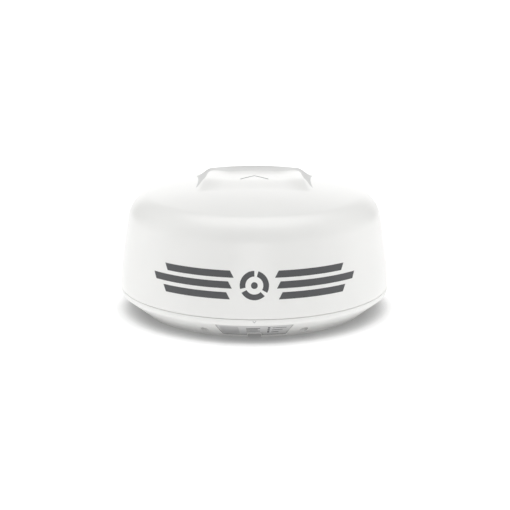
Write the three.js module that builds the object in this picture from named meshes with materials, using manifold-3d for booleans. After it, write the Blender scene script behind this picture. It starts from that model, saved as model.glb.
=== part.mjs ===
// Radar dome antenna for a boat: a turning flat array under a closed radome, on a cast base.
// Millimetres, +Z up. The origin is the middle of the flat underside. +Y is the bow side,
// and the cable notch, the label and the middle of the printed band face aft, -Y.
import * as THREE from 'three';
import { mergeVertices } from 'three/addons/utils/BufferGeometryUtils.js';
import Module from 'manifold-3d';

const wasm = await Module();
wasm.setup();

// ---------- driving dimensions ----------
const GAP = 0.3; // clearance kept between touching pieces
const DOME_RADIUS = 254.5;
const DOME_HEIGHT = 248;
const DOME_SEGMENTS = 48;

const SEAM_Z = 45.4; // middle of the joint between base and cover
const SEAM_GAP = 0.8;
const FOOT_RADIUS = 211;
const SKIRT_BOTTOM_Z = 37;
const BASE_WALL = 4;
const FLOOR_THICKNESS = 5;

const COVER_WALL = 4;
const SIDE_TAPER = THREE.MathUtils.degToRad(8.46);
const SIDE_CURVE_HEIGHT = 52; // height over which the side turns from upright to the taper
const SHOULDER_RADIUS = 52.6;
const CROWN_RADIUS = 1028;
const CROWN_TOP_Z = 240.5;

const PAD_AFT_Y = -60; // the raised pad on the crown fades in here
const PAD_LIP_Y = 118; // and ends in an upturned lip here
const PAD_BOW_Y = 168; // the lip has fallen back to the crown here
const PAD_INNER_AFT = 98; // half width of the pad's crest at its aft end
const PAD_INNER_BOW = 85;
const PAD_OUTER = 108; // half width at the foot of its side slopes
const PAD_OUTER_FLARE = 6;
const PAD_CREST = 9;
const PAD_DISH = 5.5; // depth of the dished middle below the crest
const LIP_COVE = 20; // fore-aft length of the cove under the lip
const LIP_CROSS_RADIUS = 745;

const COVER_SCREW_ANGLES = [-156.6, -90, -23.4, 23.4, 90, 156.6]; // degrees round from aft
const COVER_SCREW_RADIUS = 224;
const POCKET_RADIUS = 7.8;
const POCKET_DEPTH = 24;

const MOUNT_SPACING_X = 166;
const MOUNT_SPACING_Y = 234;
const M8_TAP_RADIUS = 3.4;

const NOTCH_WIDTH = 24;
const NOTCH_HEIGHT = 9;
const RECESS = { halfWidth: 60, aft: -120, bow: -60, height: 36, wall: 4 };
const SOCKET_X = 26;
const SOCKET_Z = 19;

const BELT_PITCH = 5;
const MAIN_TEETH = 80;
const MOTOR_TEETH = 16;
const TOOTH_HEIGHT = 2;
const BELT_THICKNESS = 1.6;
const BELT_BOTTOM_Z = 72;
const BELT_TOP_Z = 82;
const MOTOR_POS = new THREE.Vector2(98, 56);
const IDLER_POS = new THREE.Vector2(58, 92);
const IDLER_RADIUS = 10;

const ARRAY_HALF_LENGTH = 218;
const ARRAY_BOTTOM_Z = 103;
const ARRAY_TOP_Z = 173;

// ---------- helpers ----------
const { sin, cos, sqrt, PI } = Math;
const polar = (radius, degreesFromAft) => {
  const a = THREE.MathUtils.degToRad(degreesFromAft);
  return new THREE.Vector2(radius * sin(a), -radius * cos(a));
};
const smooth = (t) => {
  const c = Math.min(1, Math.max(0, t));
  return c * c * (3 - 2 * c);
};

// A closed three.js geometry as a manifold solid, its faces pointing out.
function solid(geometry) {
  const bare = geometry.clone();
  bare.deleteAttribute('normal');
  bare.deleteAttribute('uv');
  const merged = mergeVertices(bare, 1e-4);
  const index = Array.from(merged.index.array);
  const triVerts = [];
  for (let i = 0; i < index.length; i += 3) {
    const [a, b, c] = index.slice(i, i + 3);
    if (a !== b && b !== c && c !== a) triVerts.push(a, b, c);
  }
  const vertProperties = new Float32Array(merged.attributes.position.array);
  const build = (tris) =>
    new wasm.Manifold(new wasm.Mesh({ numProp: 3, vertProperties, triVerts: new Uint32Array(tris) }));
  const made = build(triVerts);
  if (made.volume() > 0) return made;
  return build(triVerts.map((_, i) => triVerts[i % 3 === 1 ? i + 1 : i % 3 === 2 ? i - 1 : i]));
}

function geometryOf(manifold) {
  const mesh = manifold.getMesh();
  const geometry = new THREE.BufferGeometry();
  const step = mesh.numProp;
  const positions = new Float32Array((mesh.vertProperties.length / step) * 3);
  for (let i = 0; i < positions.length / 3; i += 1) {
    for (let k = 0; k < 3; k += 1) positions[3 * i + k] = mesh.vertProperties[step * i + k];
  }
  geometry.setAttribute('position', new THREE.BufferAttribute(positions, 3));
  geometry.setIndex(new THREE.BufferAttribute(new Uint32Array(mesh.triVerts), 1));
  geometry.computeVertexNormals();
  return geometry;
}

const add = (...solids) => solids.reduce((a, b) => a.add(b));
const cut = (body, ...tools) => tools.reduce((a, b) => a.subtract(b), body);

// Profile points are [radius, z], turned about the Z axis.
function turned(points, segments = 32) {
  const profile = points.map(([r, z]) => new THREE.Vector2(r, z));
  profile.push(profile[0].clone());
  return solid(new THREE.LatheGeometry(profile, segments).rotateX(PI / 2));
}

function rod(radius, bottomZ, topZ, x = 0, y = 0, segments = 16) {
  const geometry = new THREE.CylinderGeometry(radius, radius, topZ - bottomZ, segments);
  return solid(geometry.rotateX(PI / 2).translate(x, y, (bottomZ + topZ) / 2));
}

function ring(outer, inner, bottomZ, topZ, segments = 32) {
  return turned([[inner, bottomZ], [outer, bottomZ], [outer, topZ], [inner, topZ]], segments);
}

// A rod along Y.
function rodY(radius, aftY, bowY, x, z, segments = 16) {
  const geometry = new THREE.CylinderGeometry(radius, radius, bowY - aftY, segments);
  return solid(geometry.translate(x, (aftY + bowY) / 2, z));
}

function block([x0, x1], [y0, y1], [z0, z1]) {
  const geometry = new THREE.BoxGeometry(x1 - x0, y1 - y0, z1 - z0);
  return solid(geometry.translate((x0 + x1) / 2, (y0 + y1) / 2, (z0 + z1) / 2));
}

function extrudedUp(shape, bottomZ, topZ) {
  const geometry = new THREE.ExtrudeGeometry(shape, { depth: topZ - bottomZ, bevelEnabled: false });
  return solid(geometry.translate(0, 0, bottomZ));
}

// A round lead of the given radius along a smooth curve through points.
function lead(points, radius, steps) {
  const curve = new THREE.CatmullRomCurve3(points.map((p) => new THREE.Vector3(...p)));
  const section = new THREE.Shape();
  section.absarc(0, 0, radius, 0, 2 * PI);
  const options = { steps, extrudePath: curve, curveSegments: 4, bevelEnabled: false };
  return solid(new THREE.ExtrudeGeometry(section, options));
}

// ---------- materials ----------
const finish = (color, roughness, metalness) =>
  new THREE.MeshStandardMaterial({ color, roughness, metalness });
const WHITE_GELCOAT = finish('#f2f2f0', 0.25, 0);
const WHITE_PAINT = finish('#efefed', 0.35, 0);
const RUBBER = finish('#2b2c2e', 0.8, 0);
const STAINLESS = finish('#b9bbbd', 0.3, 1);
const ALUMINIUM = finish('#c3c6c8', 0.4, 1);
const BLACK_PLASTIC = finish('#232426', 0.5, 0);
const CIRCUIT_BOARD = finish('#1f5a3a', 0.45, 0);
const LABEL_FILM = finish('#d2d2d2', 0.5, 0);
const COPPER = finish('#b87333', 0.35, 1);
const ACETAL = finish('#e6e3da', 0.4, 0);
const MAGNET = finish('#8d8f93', 0.35, 1);

const dome = new THREE.Group();
dome.name = 'radar_dome_antenna';

function piece(name, manifold, material) {
  const mesh = new THREE.Mesh(geometryOf(manifold), material);
  mesh.name = name;
  dome.add(mesh);
}

// ---------- dome profile ----------
// The outer line of the cover, from the seam up to the middle of the crown, moved in by inset.
// The steps are those of the curved side, the shoulder and the crown.
function coverLine(inset, [sideSteps, shoulderSteps, crownSteps]) {
  const line = [];
  const curveRadius = SIDE_CURVE_HEIGHT / sin(SIDE_TAPER);
  const curveCentre = DOME_RADIUS - curveRadius;
  for (let i = 1; i <= sideSteps; i += 1) {
    const a = (SIDE_TAPER * i) / sideSteps;
    const r = curveCentre + (curveRadius - inset) * cos(a);
    line.push([r, SEAM_Z + (curveRadius - inset) * sin(a)]);
  }
  const { r: shoulderR, z: shoulderZ, end } = shoulderArc();
  for (let i = 0; i <= shoulderSteps; i += 1) {
    const a = SIDE_TAPER + ((end - SIDE_TAPER) * i) / shoulderSteps;
    const radius = SHOULDER_RADIUS - inset;
    line.push([shoulderR + radius * cos(a), shoulderZ + radius * sin(a)]);
  }
  for (let i = 1; i < crownSteps; i += 1) {
    const a = end + ((PI / 2 - end) * i) / crownSteps;
    const radius = CROWN_RADIUS - inset;
    line.push([radius * cos(a), CROWN_TOP_Z - CROWN_RADIUS + radius * sin(a)]);
  }
  line.push([0, CROWN_TOP_Z - inset]);
  return line;
}

// Centre of the shoulder arc, which touches the tapered side and the crown, and its end angle.
function shoulderArc() {
  const curveRadius = SIDE_CURVE_HEIGHT / sin(SIDE_TAPER);
  const sideR = DOME_RADIUS - curveRadius * (1 - cos(SIDE_TAPER)) - SHOULDER_RADIUS * cos(SIDE_TAPER);
  const sideZ = SEAM_Z + SIDE_CURVE_HEIGHT - SHOULDER_RADIUS * sin(SIDE_TAPER);
  const crownCentreZ = CROWN_TOP_Z - CROWN_RADIUS;
  const reach = CROWN_RADIUS - SHOULDER_RADIUS;
  const dr = -sin(SIDE_TAPER);
  const dz = cos(SIDE_TAPER);
  const along = sideR * dr + (sideZ - crownCentreZ) * dz;
  const rest = sideR ** 2 + (sideZ - crownCentreZ) ** 2 - reach ** 2;
  const length = -along + sqrt(along ** 2 - rest);
  const r = sideR + length * dr;
  const z = sideZ + length * dz;
  return { r, z, end: Math.atan2(z - crownCentreZ, r) };
}

// Height of the plain dome's surface over a point of the crown or the shoulder.
function domeHeight(x, y) {
  const out = sqrt(x ** 2 + y ** 2);
  const { r, z, end } = shoulderArc();
  if (out > r + SHOULDER_RADIUS * cos(end)) return z + sqrt(SHOULDER_RADIUS ** 2 - (out - r) ** 2);
  return CROWN_TOP_Z - CROWN_RADIUS + sqrt(CROWN_RADIUS ** 2 - out ** 2);
}

// ---------- raised pad on the crown ----------
// Height of the pad above the crown: side slopes up to a crest, a dished middle that opens
// flush towards aft, and a cove that turns up into the lip at the bow end.
function padHeight(x, y) {
  const across = Math.abs(x);
  const inner = PAD_INNER_AFT + (PAD_INNER_BOW - PAD_INNER_AFT) * smooth((y - PAD_AFT_Y) / 150);
  const outer = PAD_OUTER + PAD_OUTER_FLARE * smooth((y - 50) / 90);
  const lipTop = DOME_HEIGHT - x ** 2 / (2 * LIP_CROSS_RADIUS) - domeHeight(x, PAD_LIP_Y);
  const crest = PAD_CREST * smooth((y - PAD_AFT_Y) / 75);
  const coveT = Math.min(1, Math.max(0, (y - PAD_LIP_Y + LIP_COVE) / LIP_COVE));
  const cove = 1 - sqrt(1 - coveT ** 2);
  const dish = PAD_DISH * smooth((inner - across) / 45) * smooth((y - PAD_AFT_Y) / 75);
  const open = crest - dish;
  const top = open + (lipTop - open) * cove;
  const fall = 1 - smooth((y - PAD_LIP_Y) / (PAD_BOW_Y - PAD_LIP_Y));
  const side = smooth((outer - across) / (outer - inner));
  return top * side * fall;
}

function padSolid() {
  const sunk = 0.25; // the pad's edge lies this far under the crown's surface
  const xs = [];
  const halfColumns = [0, 30, 55, 75, 85, 91, 97, 103, 109, 117];
  for (const x of halfColumns) xs.push(...(x === 0 ? [0] : [-x, x]));
  xs.sort((a, b) => a - b);
  const ys = [-62, -45, -28, -10, 10, 32, 56, 78, 98, 106, 112, 116];
  ys.push(PAD_LIP_Y, 126, 136, 147, 158, 170);
  const positions = [];
  for (const level of ['top', 'bottom']) {
    for (const y of ys) {
      for (const x of xs) {
        const crown = domeHeight(x, y);
        const lift = padHeight(x, y);
        const z = level === 'top' ? crown + lift - sunk * (1 - smooth(lift / 2)) : crown - 2;
        positions.push(x, y, z);
      }
    }
  }
  const columns = xs.length;
  const rows = ys.length;
  const at = (level, row, column) => (level * rows + row) * columns + column;
  const index = [];
  const quad = (a, b, c, d) => index.push(a, b, c, a, c, d);
  for (let row = 0; row + 1 < rows; row += 1) {
    for (let column = 0; column + 1 < columns; column += 1) {
      const corners = (level) => [
        at(level, row, column),
        at(level, row, column + 1),
        at(level, row + 1, column + 1),
        at(level, row + 1, column),
      ];
      quad(...corners(0));
      quad(...corners(1).reverse());
    }
    quad(at(0, row, 0), at(0, row + 1, 0), at(1, row + 1, 0), at(1, row, 0));
    quad(at(1, row, columns - 1), at(1, row + 1, columns - 1), at(0, row + 1, columns - 1), at(0, row, columns - 1));
  }
  for (let column = 0; column + 1 < columns; column += 1) {
    quad(at(1, 0, column), at(1, 0, column + 1), at(0, 0, column + 1), at(0, 0, column));
    quad(at(0, rows - 1, column), at(0, rows - 1, column + 1), at(1, rows - 1, column + 1), at(1, rows - 1, column));
  }
  const geometry = new THREE.BufferGeometry();
  geometry.setAttribute('position', new THREE.Float32BufferAttribute(positions, 3));
  geometry.setIndex(index);
  return solid(geometry);
}

// ---------- cover ----------
const GASKET_INNER = 241;
const GASKET_OUTER = 246.4;
const LEDGE_Z = 39;
const COVER_BOSS_TOP = 72;
const SCREW_SHANK_RADIUS = 2.9;

function makeCover() {
  const rimZ = SEAM_Z + SEAM_GAP / 2;
  const tongueZ = 43.9;
  const flangeTop = 50;
  const outside = coverLine(0, [3, 7, 5]);
  const inside = coverLine(COVER_WALL, [1, 4, 3]).reverse();
  const profile = [
    [GASKET_OUTER, rimZ],
    [DOME_RADIUS, rimZ],
    ...outside,
    ...inside,
    [DOME_RADIUS - COVER_WALL, flangeTop],
    [GASKET_INNER, flangeTop],
    [GASKET_INNER, tongueZ],
    [GASKET_OUTER, tongueZ],
  ];
  let shell = turned(profile, DOME_SEGMENTS).add(padSolid());
  for (const angle of COVER_SCREW_ANGLES) {
    const centre = polar(COVER_SCREW_RADIUS, angle);
    const boss = rod(8, BOSS_TOP_Z + GAP, COVER_BOSS_TOP, centre.x, centre.y, 16);
    const rib = block([-2, 2], [-DOME_RADIUS + 6, -COVER_SCREW_RADIUS], [rimZ + 1, COVER_BOSS_TOP - 4]);
    shell = add(shell, boss, rib.rotate([0, 0, angle]));
    shell = cut(shell, rod(SCREW_SHANK_RADIUS + GAP, 0, COVER_BOSS_TOP - 6, centre.x, centre.y, 12));
  }
  piece('radome_cover', shell, WHITE_GELCOAT);
}

// ---------- base ----------
const BOSS_TOP_Z = 44.6;
const MOUNT_BOSS_TOP = 27;
const BOARD_POSTS = [[-172, -32], [-68, -32], [-172, 82], [-68, 82]];
const POWER_POSTS = [[74, -86], [148, -86], [74, -34], [148, -34]];
const POST_TOP_Z = 13.7;

// The cast outer form of the base, solid, which trims the bosses to its wall.
function baseEnvelope() {
  return [[0, 0], [FOOT_RADIUS - 2, 0], [FOOT_RADIUS - 0.6, 0.6], [FOOT_RADIUS, 2],
    [DOME_RADIUS - 1.5, SKIRT_BOTTOM_Z - 2], [DOME_RADIUS - 0.3, SKIRT_BOTTOM_Z],
    [DOME_RADIUS, SKIRT_BOTTOM_Z + 2], [DOME_RADIUS, SEAM_Z - SEAM_GAP / 2]];
}

function notchTool(clear, height, aftY, bowY) {
  const half = NOTCH_WIDTH / 2 + clear;
  const corner = 3;
  const shape = new THREE.Shape();
  shape.moveTo(-half, -1);
  shape.lineTo(half, -1);
  shape.lineTo(half, height - corner);
  shape.absarc(half - corner, height - corner, corner, 0, PI / 2);
  shape.absarc(corner - half, height - corner, corner, PI / 2, PI);
  shape.closePath();
  const options = { depth: bowY - aftY, bevelEnabled: false, curveSegments: 4 };
  const geometry = new THREE.ExtrudeGeometry(shape, options);
  return solid(geometry.rotateX(PI / 2).translate(0, bowY, 0));
}

const mountPositions = [-1, 1].flatMap((sx) =>
  [-1, 1].map((sy) => [(sx * MOUNT_SPACING_X) / 2, (sy * MOUNT_SPACING_Y) / 2]));

function makeBase() {
  const skirtInner = 250;
  const slope = (DOME_RADIUS - FOOT_RADIUS) / (SKIRT_BOTTOM_Z - 2);
  const innerFoot = FOOT_RADIUS - BASE_WALL * 0.6 + slope * 1.5;
  const innerAtLedge = skirtInner - 4.5;
  const shellProfile = [
    ...baseEnvelope(),
    [skirtInner, SEAM_Z - SEAM_GAP / 2],
    [skirtInner, LEDGE_Z],
    [GASKET_INNER - 3, LEDGE_Z],
    [GASKET_INNER - 3, LEDGE_Z - BASE_WALL],
    [innerAtLedge, LEDGE_Z - BASE_WALL],
    [innerFoot, FLOOR_THICKNESS],
    [0, FLOOR_THICKNESS],
  ];
  const envelope = turned([...baseEnvelope(), [0, SEAM_Z - SEAM_GAP / 2]], DOME_SEGMENTS);
  const bosses = COVER_SCREW_ANGLES.map((angle) => {
    const { x, y } = polar(COVER_SCREW_RADIUS, angle);
    return rod(POCKET_RADIUS + 3, 1, BOSS_TOP_Z, x, y).intersect(envelope);
  });
  for (const [x, y] of mountPositions) bosses.push(rod(12, 1, MOUNT_BOSS_TOP, x, y, 12));
  for (const [x, y] of [...BOARD_POSTS, ...POWER_POSTS]) bosses.push(rod(4, 1, POST_TOP_Z, x, y, 8));
  const { halfWidth, aft, bow, height, wall } = RECESS;
  const recessHump = block([-halfWidth - wall, halfWidth + wall], [aft - wall, bow + wall], [1, height + wall]);
  const channelHump = notchTool(wall, NOTCH_HEIGHT + wall, -DOME_RADIUS, aft + 1)
    .intersect(envelope);
  let base = add(turned(shellProfile, DOME_SEGMENTS), ...bosses, recessHump, channelHump);
  base = cut(base, block([-halfWidth, halfWidth], [aft, bow], [-1, height]));
  base = cut(base, notchTool(0, NOTCH_HEIGHT, -DOME_RADIUS, aft + 1));
  for (const angle of COVER_SCREW_ANGLES) {
    const { x, y } = polar(COVER_SCREW_RADIUS, angle);
    base = cut(base, rod(POCKET_RADIUS, -1, POCKET_DEPTH, x, y), rod(3.3, 0, BOSS_TOP_Z + 1, x, y, 16));
  }
  for (const [x, y] of mountPositions) base = cut(base, rod(6.8, -1, 23, x, y));
  for (const x of [-SOCKET_X, SOCKET_X]) base = cut(base, rodY(10, bow - 1, bow + wall + 1, x, SOCKET_Z));
  base = cut(base, rod(4.5, height - 1, height + wall + 1, VENT.x, VENT.y, 16));
  base = cut(base, labelSeat());
  piece('base_housing', base, WHITE_PAINT);
}

// ---------- label on the sloping aft wall ----------
const LABEL = { halfAngle: 16.2, lowZ: 6.5, highZ: 31.5, thickness: 0.5 };

// A thin sector of a cone that follows the wall: its outer face is moved out by offset.
function wallSector(halfAngle, lowZ, highZ, depth, offset) {
  const slope = (DOME_RADIUS - 1.5 - FOOT_RADIUS) / (SKIRT_BOTTOM_Z - 4);
  const radiusAt = (z) => FOOT_RADIUS + (z - 2) * slope;
  const steps = 12;
  const positions = [];
  for (let i = 0; i <= steps; i += 1) {
    const angle = -halfAngle + (2 * halfAngle * i) / steps;
    for (const [z, inset] of [[lowZ, 0], [highZ, 0], [highZ, depth], [lowZ, depth]]) {
      const { x, y } = polar(radiusAt(z) + offset - inset, angle);
      positions.push(x, y, z + inset * 0.8 - offset * 0.8);
    }
  }
  const index = [];
  const quad = (a, b, c, d) => index.push(a, b, c, a, c, d);
  for (let i = 0; i < steps; i += 1) {
    for (let k = 0; k < 4; k += 1) {
      const next = (k + 1) % 4;
      quad(4 * i + k, 4 * (i + 1) + k, 4 * (i + 1) + next, 4 * i + next);
    }
  }
  quad(0, 1, 2, 3);
  quad(4 * steps + 3, 4 * steps + 2, 4 * steps + 1, 4 * steps);
  const geometry = new THREE.BufferGeometry();
  geometry.setAttribute('position', new THREE.Float32BufferAttribute(positions, 3));
  geometry.setIndex(index);
  return solid(geometry);
}

const labelSeat = () => wallSector(LABEL.halfAngle + 0.2, LABEL.lowZ - 0.5, LABEL.highZ + 0.5, 2, 1.2);

function makeLabel() {
  const film = wallSector(LABEL.halfAngle, LABEL.lowZ, LABEL.highZ, LABEL.thickness, -0.2);
  piece('label_plate', cut(film, notchTool(1.5, NOTCH_HEIGHT + 1.5, -DOME_RADIUS, -150)), LABEL_FILM);
}

// ---------- seal, inserts, sockets and vent of the base ----------
const VENT = { x: -44, y: -92 };

function makeBaseFittings() {
  const gasket = ring(GASKET_OUTER, GASKET_INNER, LEDGE_Z + GAP, 43.9 - GAP, DOME_SEGMENTS);
  piece('cover_gasket', gasket, RUBBER);
  mountPositions.forEach(([x, y], i) => {
    const insert = cut(rod(6.5, 0, 22.5, x, y), rod(M8_TAP_RADIUS, -1, 20, x, y, 16));
    piece(`mount_insert_${i + 1}`, insert, STAINLESS);
  });
  const sockets = [['power_socket', -SOCKET_X], ['network_socket', SOCKET_X]];
  for (const [name, x] of sockets) {
    const flangeBow = RECESS.bow - GAP;
    const body = add(
      rodY(13, flangeBow - 3, flangeBow, x, SOCKET_Z),
      rodY(9.6, flangeBow - 1, RECESS.bow + 14, x, SOCKET_Z),
      rodY(10.6, flangeBow - 8, flangeBow - 1, x, SOCKET_Z),
    );
    piece(name, cut(body, rodY(8, flangeBow - 9, RECESS.bow + 8, x, SOCKET_Z, 16)), BLACK_PLASTIC);
  }
  const ceiling = RECESS.height;
  const vent = add(
    rod(7, ceiling - 3.3, ceiling - GAP, VENT.x, VENT.y, 16),
    rod(4.2, ceiling - 1, ceiling + 6, VENT.x, VENT.y, 16),
  );
  piece('breather_vent', vent, BLACK_PLASTIC);
}

// ---------- cover screws ----------
function makeCoverScrews() {
  COVER_SCREW_ANGLES.forEach((angle, i) => {
    const { x, y } = polar(COVER_SCREW_RADIUS, angle);
    const headTop = POCKET_DEPTH - GAP;
    const head = cut(rod(5.5, headTop - 5, headTop, x, y, 18), rod(2.9, headTop - 6, headTop - 2.2, x, y, 6));
    const shank = rod(SCREW_SHANK_RADIUS, headTop - 1, COVER_BOSS_TOP - 8, x, y, 12);
    piece(`cover_screw_${i + 1}`, add(head, shank), STAINLESS);
  });
}

// ---------- pedestal, bearings and rotary joint ----------
const PEDESTAL_SEGMENTS = 24;
const FLANGE_TOP_Z = FLOOR_THICKNESS + GAP + 5;
const BEARING_OUTER = 18;
const SPINDLE_RADIUS = 12;
const PEDESTAL_TOP_Z = 68;

function makePedestal() {
  const bottom = FLOOR_THICKNESS + GAP;
  const seat = BEARING_OUTER + 0.2;
  const body = turned([
    [seat, bottom], [48, bottom], [48, FLANGE_TOP_Z], [27, FLANGE_TOP_Z], [24, FLANGE_TOP_Z + 6],
    [23, PEDESTAL_TOP_Z], [seat, PEDESTAL_TOP_Z], [seat, 57.7], [14.5, 57.7], [14.5, 30.3], [seat, 30.3],
  ], PEDESTAL_SEGMENTS);
  const coaxSlot = block([-60, -10], [-3.5, 3.5], [0, 13.5]);
  const holes = PEDESTAL_SCREWS.map(([x, y]) => rod(2.4, 0, 20, x, y, 12));
  piece('pedestal', cut(body, coaxSlot, ...holes), ALUMINIUM);
  const bearing = (low) => ring(BEARING_OUTER, SPINDLE_RADIUS + 0.2, low, low + 9.7, PEDESTAL_SEGMENTS);
  piece('lower_bearing', bearing(20.3), STAINLESS);
  piece('upper_bearing', bearing(58), STAINLESS);
  const stator = add(rod(17.5, bottom + 0.2, 12, 0, 0), rod(3, 11, 40, 0, 0, 16));
  piece('rotary_joint_stator', stator, ALUMINIUM);
  PEDESTAL_SCREWS.forEach(([x, y], i) => {
    const headLow = FLANGE_TOP_Z + GAP;
    const screw = add(
      cut(rod(3.6, headLow, headLow + 4, x, y, 16), rod(1.9, headLow + 1.8, headLow + 5, x, y, 6)),
      rod(2, 5 + 2 * GAP, headLow + 1, x, y, 12),
    );
    piece(`pedestal_screw_${i + 1}`, screw, STAINLESS);
  });
}
const PEDESTAL_SCREWS = [45, 135, 225, 315].map((a) => polar(40, a).toArray());

// ---------- belt drive ----------
const pitchRadius = (teeth) => (teeth * BELT_PITCH) / (2 * PI);
const MAIN_TIP = pitchRadius(MAIN_TEETH) - 0.6;
const MOTOR_TIP = pitchRadius(MOTOR_TEETH) - 0.6;

// Outline of a timing pulley: each tooth has a flat tip and a flat root.
function toothedShape(teeth, tipRadius) {
  const points = [];
  for (let tooth = 0; tooth < teeth; tooth += 1) {
    const corners = [[0.14, 1], [0.42, 1], [0.56, 0], [1, 0]];
    for (const [share, isTip] of corners) {
      const a = (2 * PI * (tooth + share)) / teeth;
      const r = isTip ? tipRadius : tipRadius - TOOTH_HEIGHT;
      points.push(new THREE.Vector2(r * cos(a), r * sin(a)));
    }
  }
  return new THREE.Shape(points);
}

// The loop that a tight belt makes round the three pulleys, offset outwards by extra.
function beltLoop(extra) {
  const rollers = [
    [new THREE.Vector2(0, 0), MAIN_TIP],
    [MOTOR_POS, MOTOR_TIP],
    [IDLER_POS, IDLER_RADIUS],
  ];
  const points = [];
  const steps = 64;
  for (let i = 0; i < steps; i += 1) {
    const normal = new THREE.Vector2(cos((2 * PI * i) / steps), sin((2 * PI * i) / steps));
    const reach = ([centre, radius]) => centre.dot(normal) + radius;
    const [centre, radius] = rollers.reduce((a, b) => (reach(b) > reach(a) ? b : a));
    points.push(normal.clone().multiplyScalar(radius + extra).add(centre));
  }
  return points;
}

function makeDrive() {
  const belt = new THREE.Shape(beltLoop(0.5 + BELT_THICKNESS));
  belt.holes.push(new THREE.Path(beltLoop(0.5)));
  piece('drive_belt', extrudedUp(belt, BELT_BOTTOM_Z, BELT_TOP_Z), RUBBER);

  // A sheet bracket carries the motor under its top plate and the idler on an arm.
  const { x: mx, y: my } = MOTOR_POS;
  const plateLow = 60;
  const plateTop = 63;
  const plate = add(
    block([mx - 30, mx + 30], [my - 26, my + 26], [plateLow, plateTop]),
    block([IDLER_POS.x - 8, mx], [my + 20, IDLER_POS.y + 10], [plateLow, plateTop]),
  );
  const side = (x) => block([x, x + 3], [my - 26, my + 26], [FLOOR_THICKNESS + GAP, plateTop]);
  const foot = (x0, x1) => block([x0, x1], [my - 26, my + 26], [FLOOR_THICKNESS + GAP, FLOOR_THICKNESS + 3]);
  const bracket = cut(
    add(plate, side(mx - 30), side(mx + 27), foot(mx + 27, mx + 42)),
    rod(12, 50, 70, mx, my),
    rod(4.3, 50, 70, IDLER_POS.x, IDLER_POS.y, 16),
    ...MOTOR_SCREWS.map(([x, y]) => rod(2, 50, 70, x, y, 12)),
  );
  piece('motor_bracket', bracket, ALUMINIUM);
  const can = block([mx - 21, mx + 21], [my - 21, my + 21], [20, plateLow - GAP]);
  const motor = cut(
    add(can, rod(11, 50, 62, mx, my)),
    rod(3, 24, 70, mx, my),
    ...MOTOR_SCREWS.map(([x, y]) => rod(2, 52, 70, x, y, 12)),
  );
  piece('drive_motor', motor, BLACK_PLASTIC);
  MOTOR_SCREWS.forEach(([x, y], i) => {
    const screw = add(rod(2.8, plateTop + GAP, plateTop + 2.5, x, y, 12), rod(1.6, 54, plateTop + 1, x, y, 12));
    piece(`motor_screw_${i + 1}`, screw, STAINLESS);
  });
  piece('motor_shaft', rod(2.6, 26, BELT_TOP_Z + 2, mx, my, 16), STAINLESS);
  const small = extrudedUp(toothedShape(MOTOR_TEETH, MOTOR_TIP), BELT_BOTTOM_Z - 0.5, BELT_TOP_Z + 0.5);
  const flanges = add(rod(MOTOR_TIP + 1.6, 69.4, 70.9, 0, 0), rod(MOTOR_TIP + 1.6, 83.1, 84.6, 0, 0));
  const motorPulley = cut(add(small, rod(9, 69.4, 84.6), flanges), rod(2.9, 60, 90)).translate([mx, my, 0]);
  piece('motor_pulley', motorPulley, ALUMINIUM);
  const axle = add(
    rod(4, plateTop - 4, 70, IDLER_POS.x, IDLER_POS.y, 16),
    rod(3, 69, BELT_TOP_Z + 3, IDLER_POS.x, IDLER_POS.y, 16),
    rod(6.5, plateTop + GAP, plateTop + 4, IDLER_POS.x, IDLER_POS.y, 6),
  );
  piece('idler_axle', axle, STAINLESS);
  const idler = cut(
    add(rod(IDLER_RADIUS, 70.9, 83.1), rod(IDLER_RADIUS + 3, 70.4, 71.3), rod(IDLER_RADIUS + 3, 82.7, 83.6)),
    rod(3.2, 60, 90, 0, 0, 24),
  );
  piece('idler_pulley', idler.translate([IDLER_POS.x, IDLER_POS.y, 0]), ACETAL);
}
const MOTOR_SCREWS = [[-1, -1], [1, 1]].map(([sx, sy]) => [MOTOR_POS.x + 15.5 * sx, MOTOR_POS.y + 15.5 * sy]);

// ---------- turning antenna ----------
const HUB_TOP_Z = 97;
const COAX_Z = 138; // height where the coaxial lead enters the array

function makeSpindle() {
  piece('spindle', turned([
    [8, 17], [SPINDLE_RADIUS, 17], [SPINDLE_RADIUS, 69.5], [28, 69.5], [28, 74], [SPINDLE_RADIUS, 74],
    [SPINDLE_RADIUS, 90], [8, 90],
  ], PEDESTAL_SEGMENTS), STAINLESS);
  piece('rotary_joint_rotor', ring(7.6, 3.5, 22, 60, 24), ALUMINIUM);

  const rim = extrudedUp(toothedShape(MAIN_TEETH, MAIN_TIP), BELT_BOTTOM_Z - 0.5, BELT_TOP_Z + 0.5);
  const web = ring(MAIN_TIP - 2.5, SPINDLE_RADIUS + GAP, 74.3, 78.3, PEDESTAL_SEGMENTS);
  const rimBore = cut(rim, rod(MAIN_TIP - 6, 60, 90, 0, 0, PEDESTAL_SEGMENTS));
  const lightening = [0, 60, 120, 180, 240, 300].map((a) => {
    const { x, y } = polar(43, a);
    return rod(8.5, 70, 90, x, y, 12);
  });
  piece('main_pulley', cut(add(rimBore, web), ...lightening), ALUMINIUM);
  const { x, y } = polar(50, 210);
  piece('index_magnet', rod(3, 71.2, 74, x, y, 16), MAGNET);
}

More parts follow.
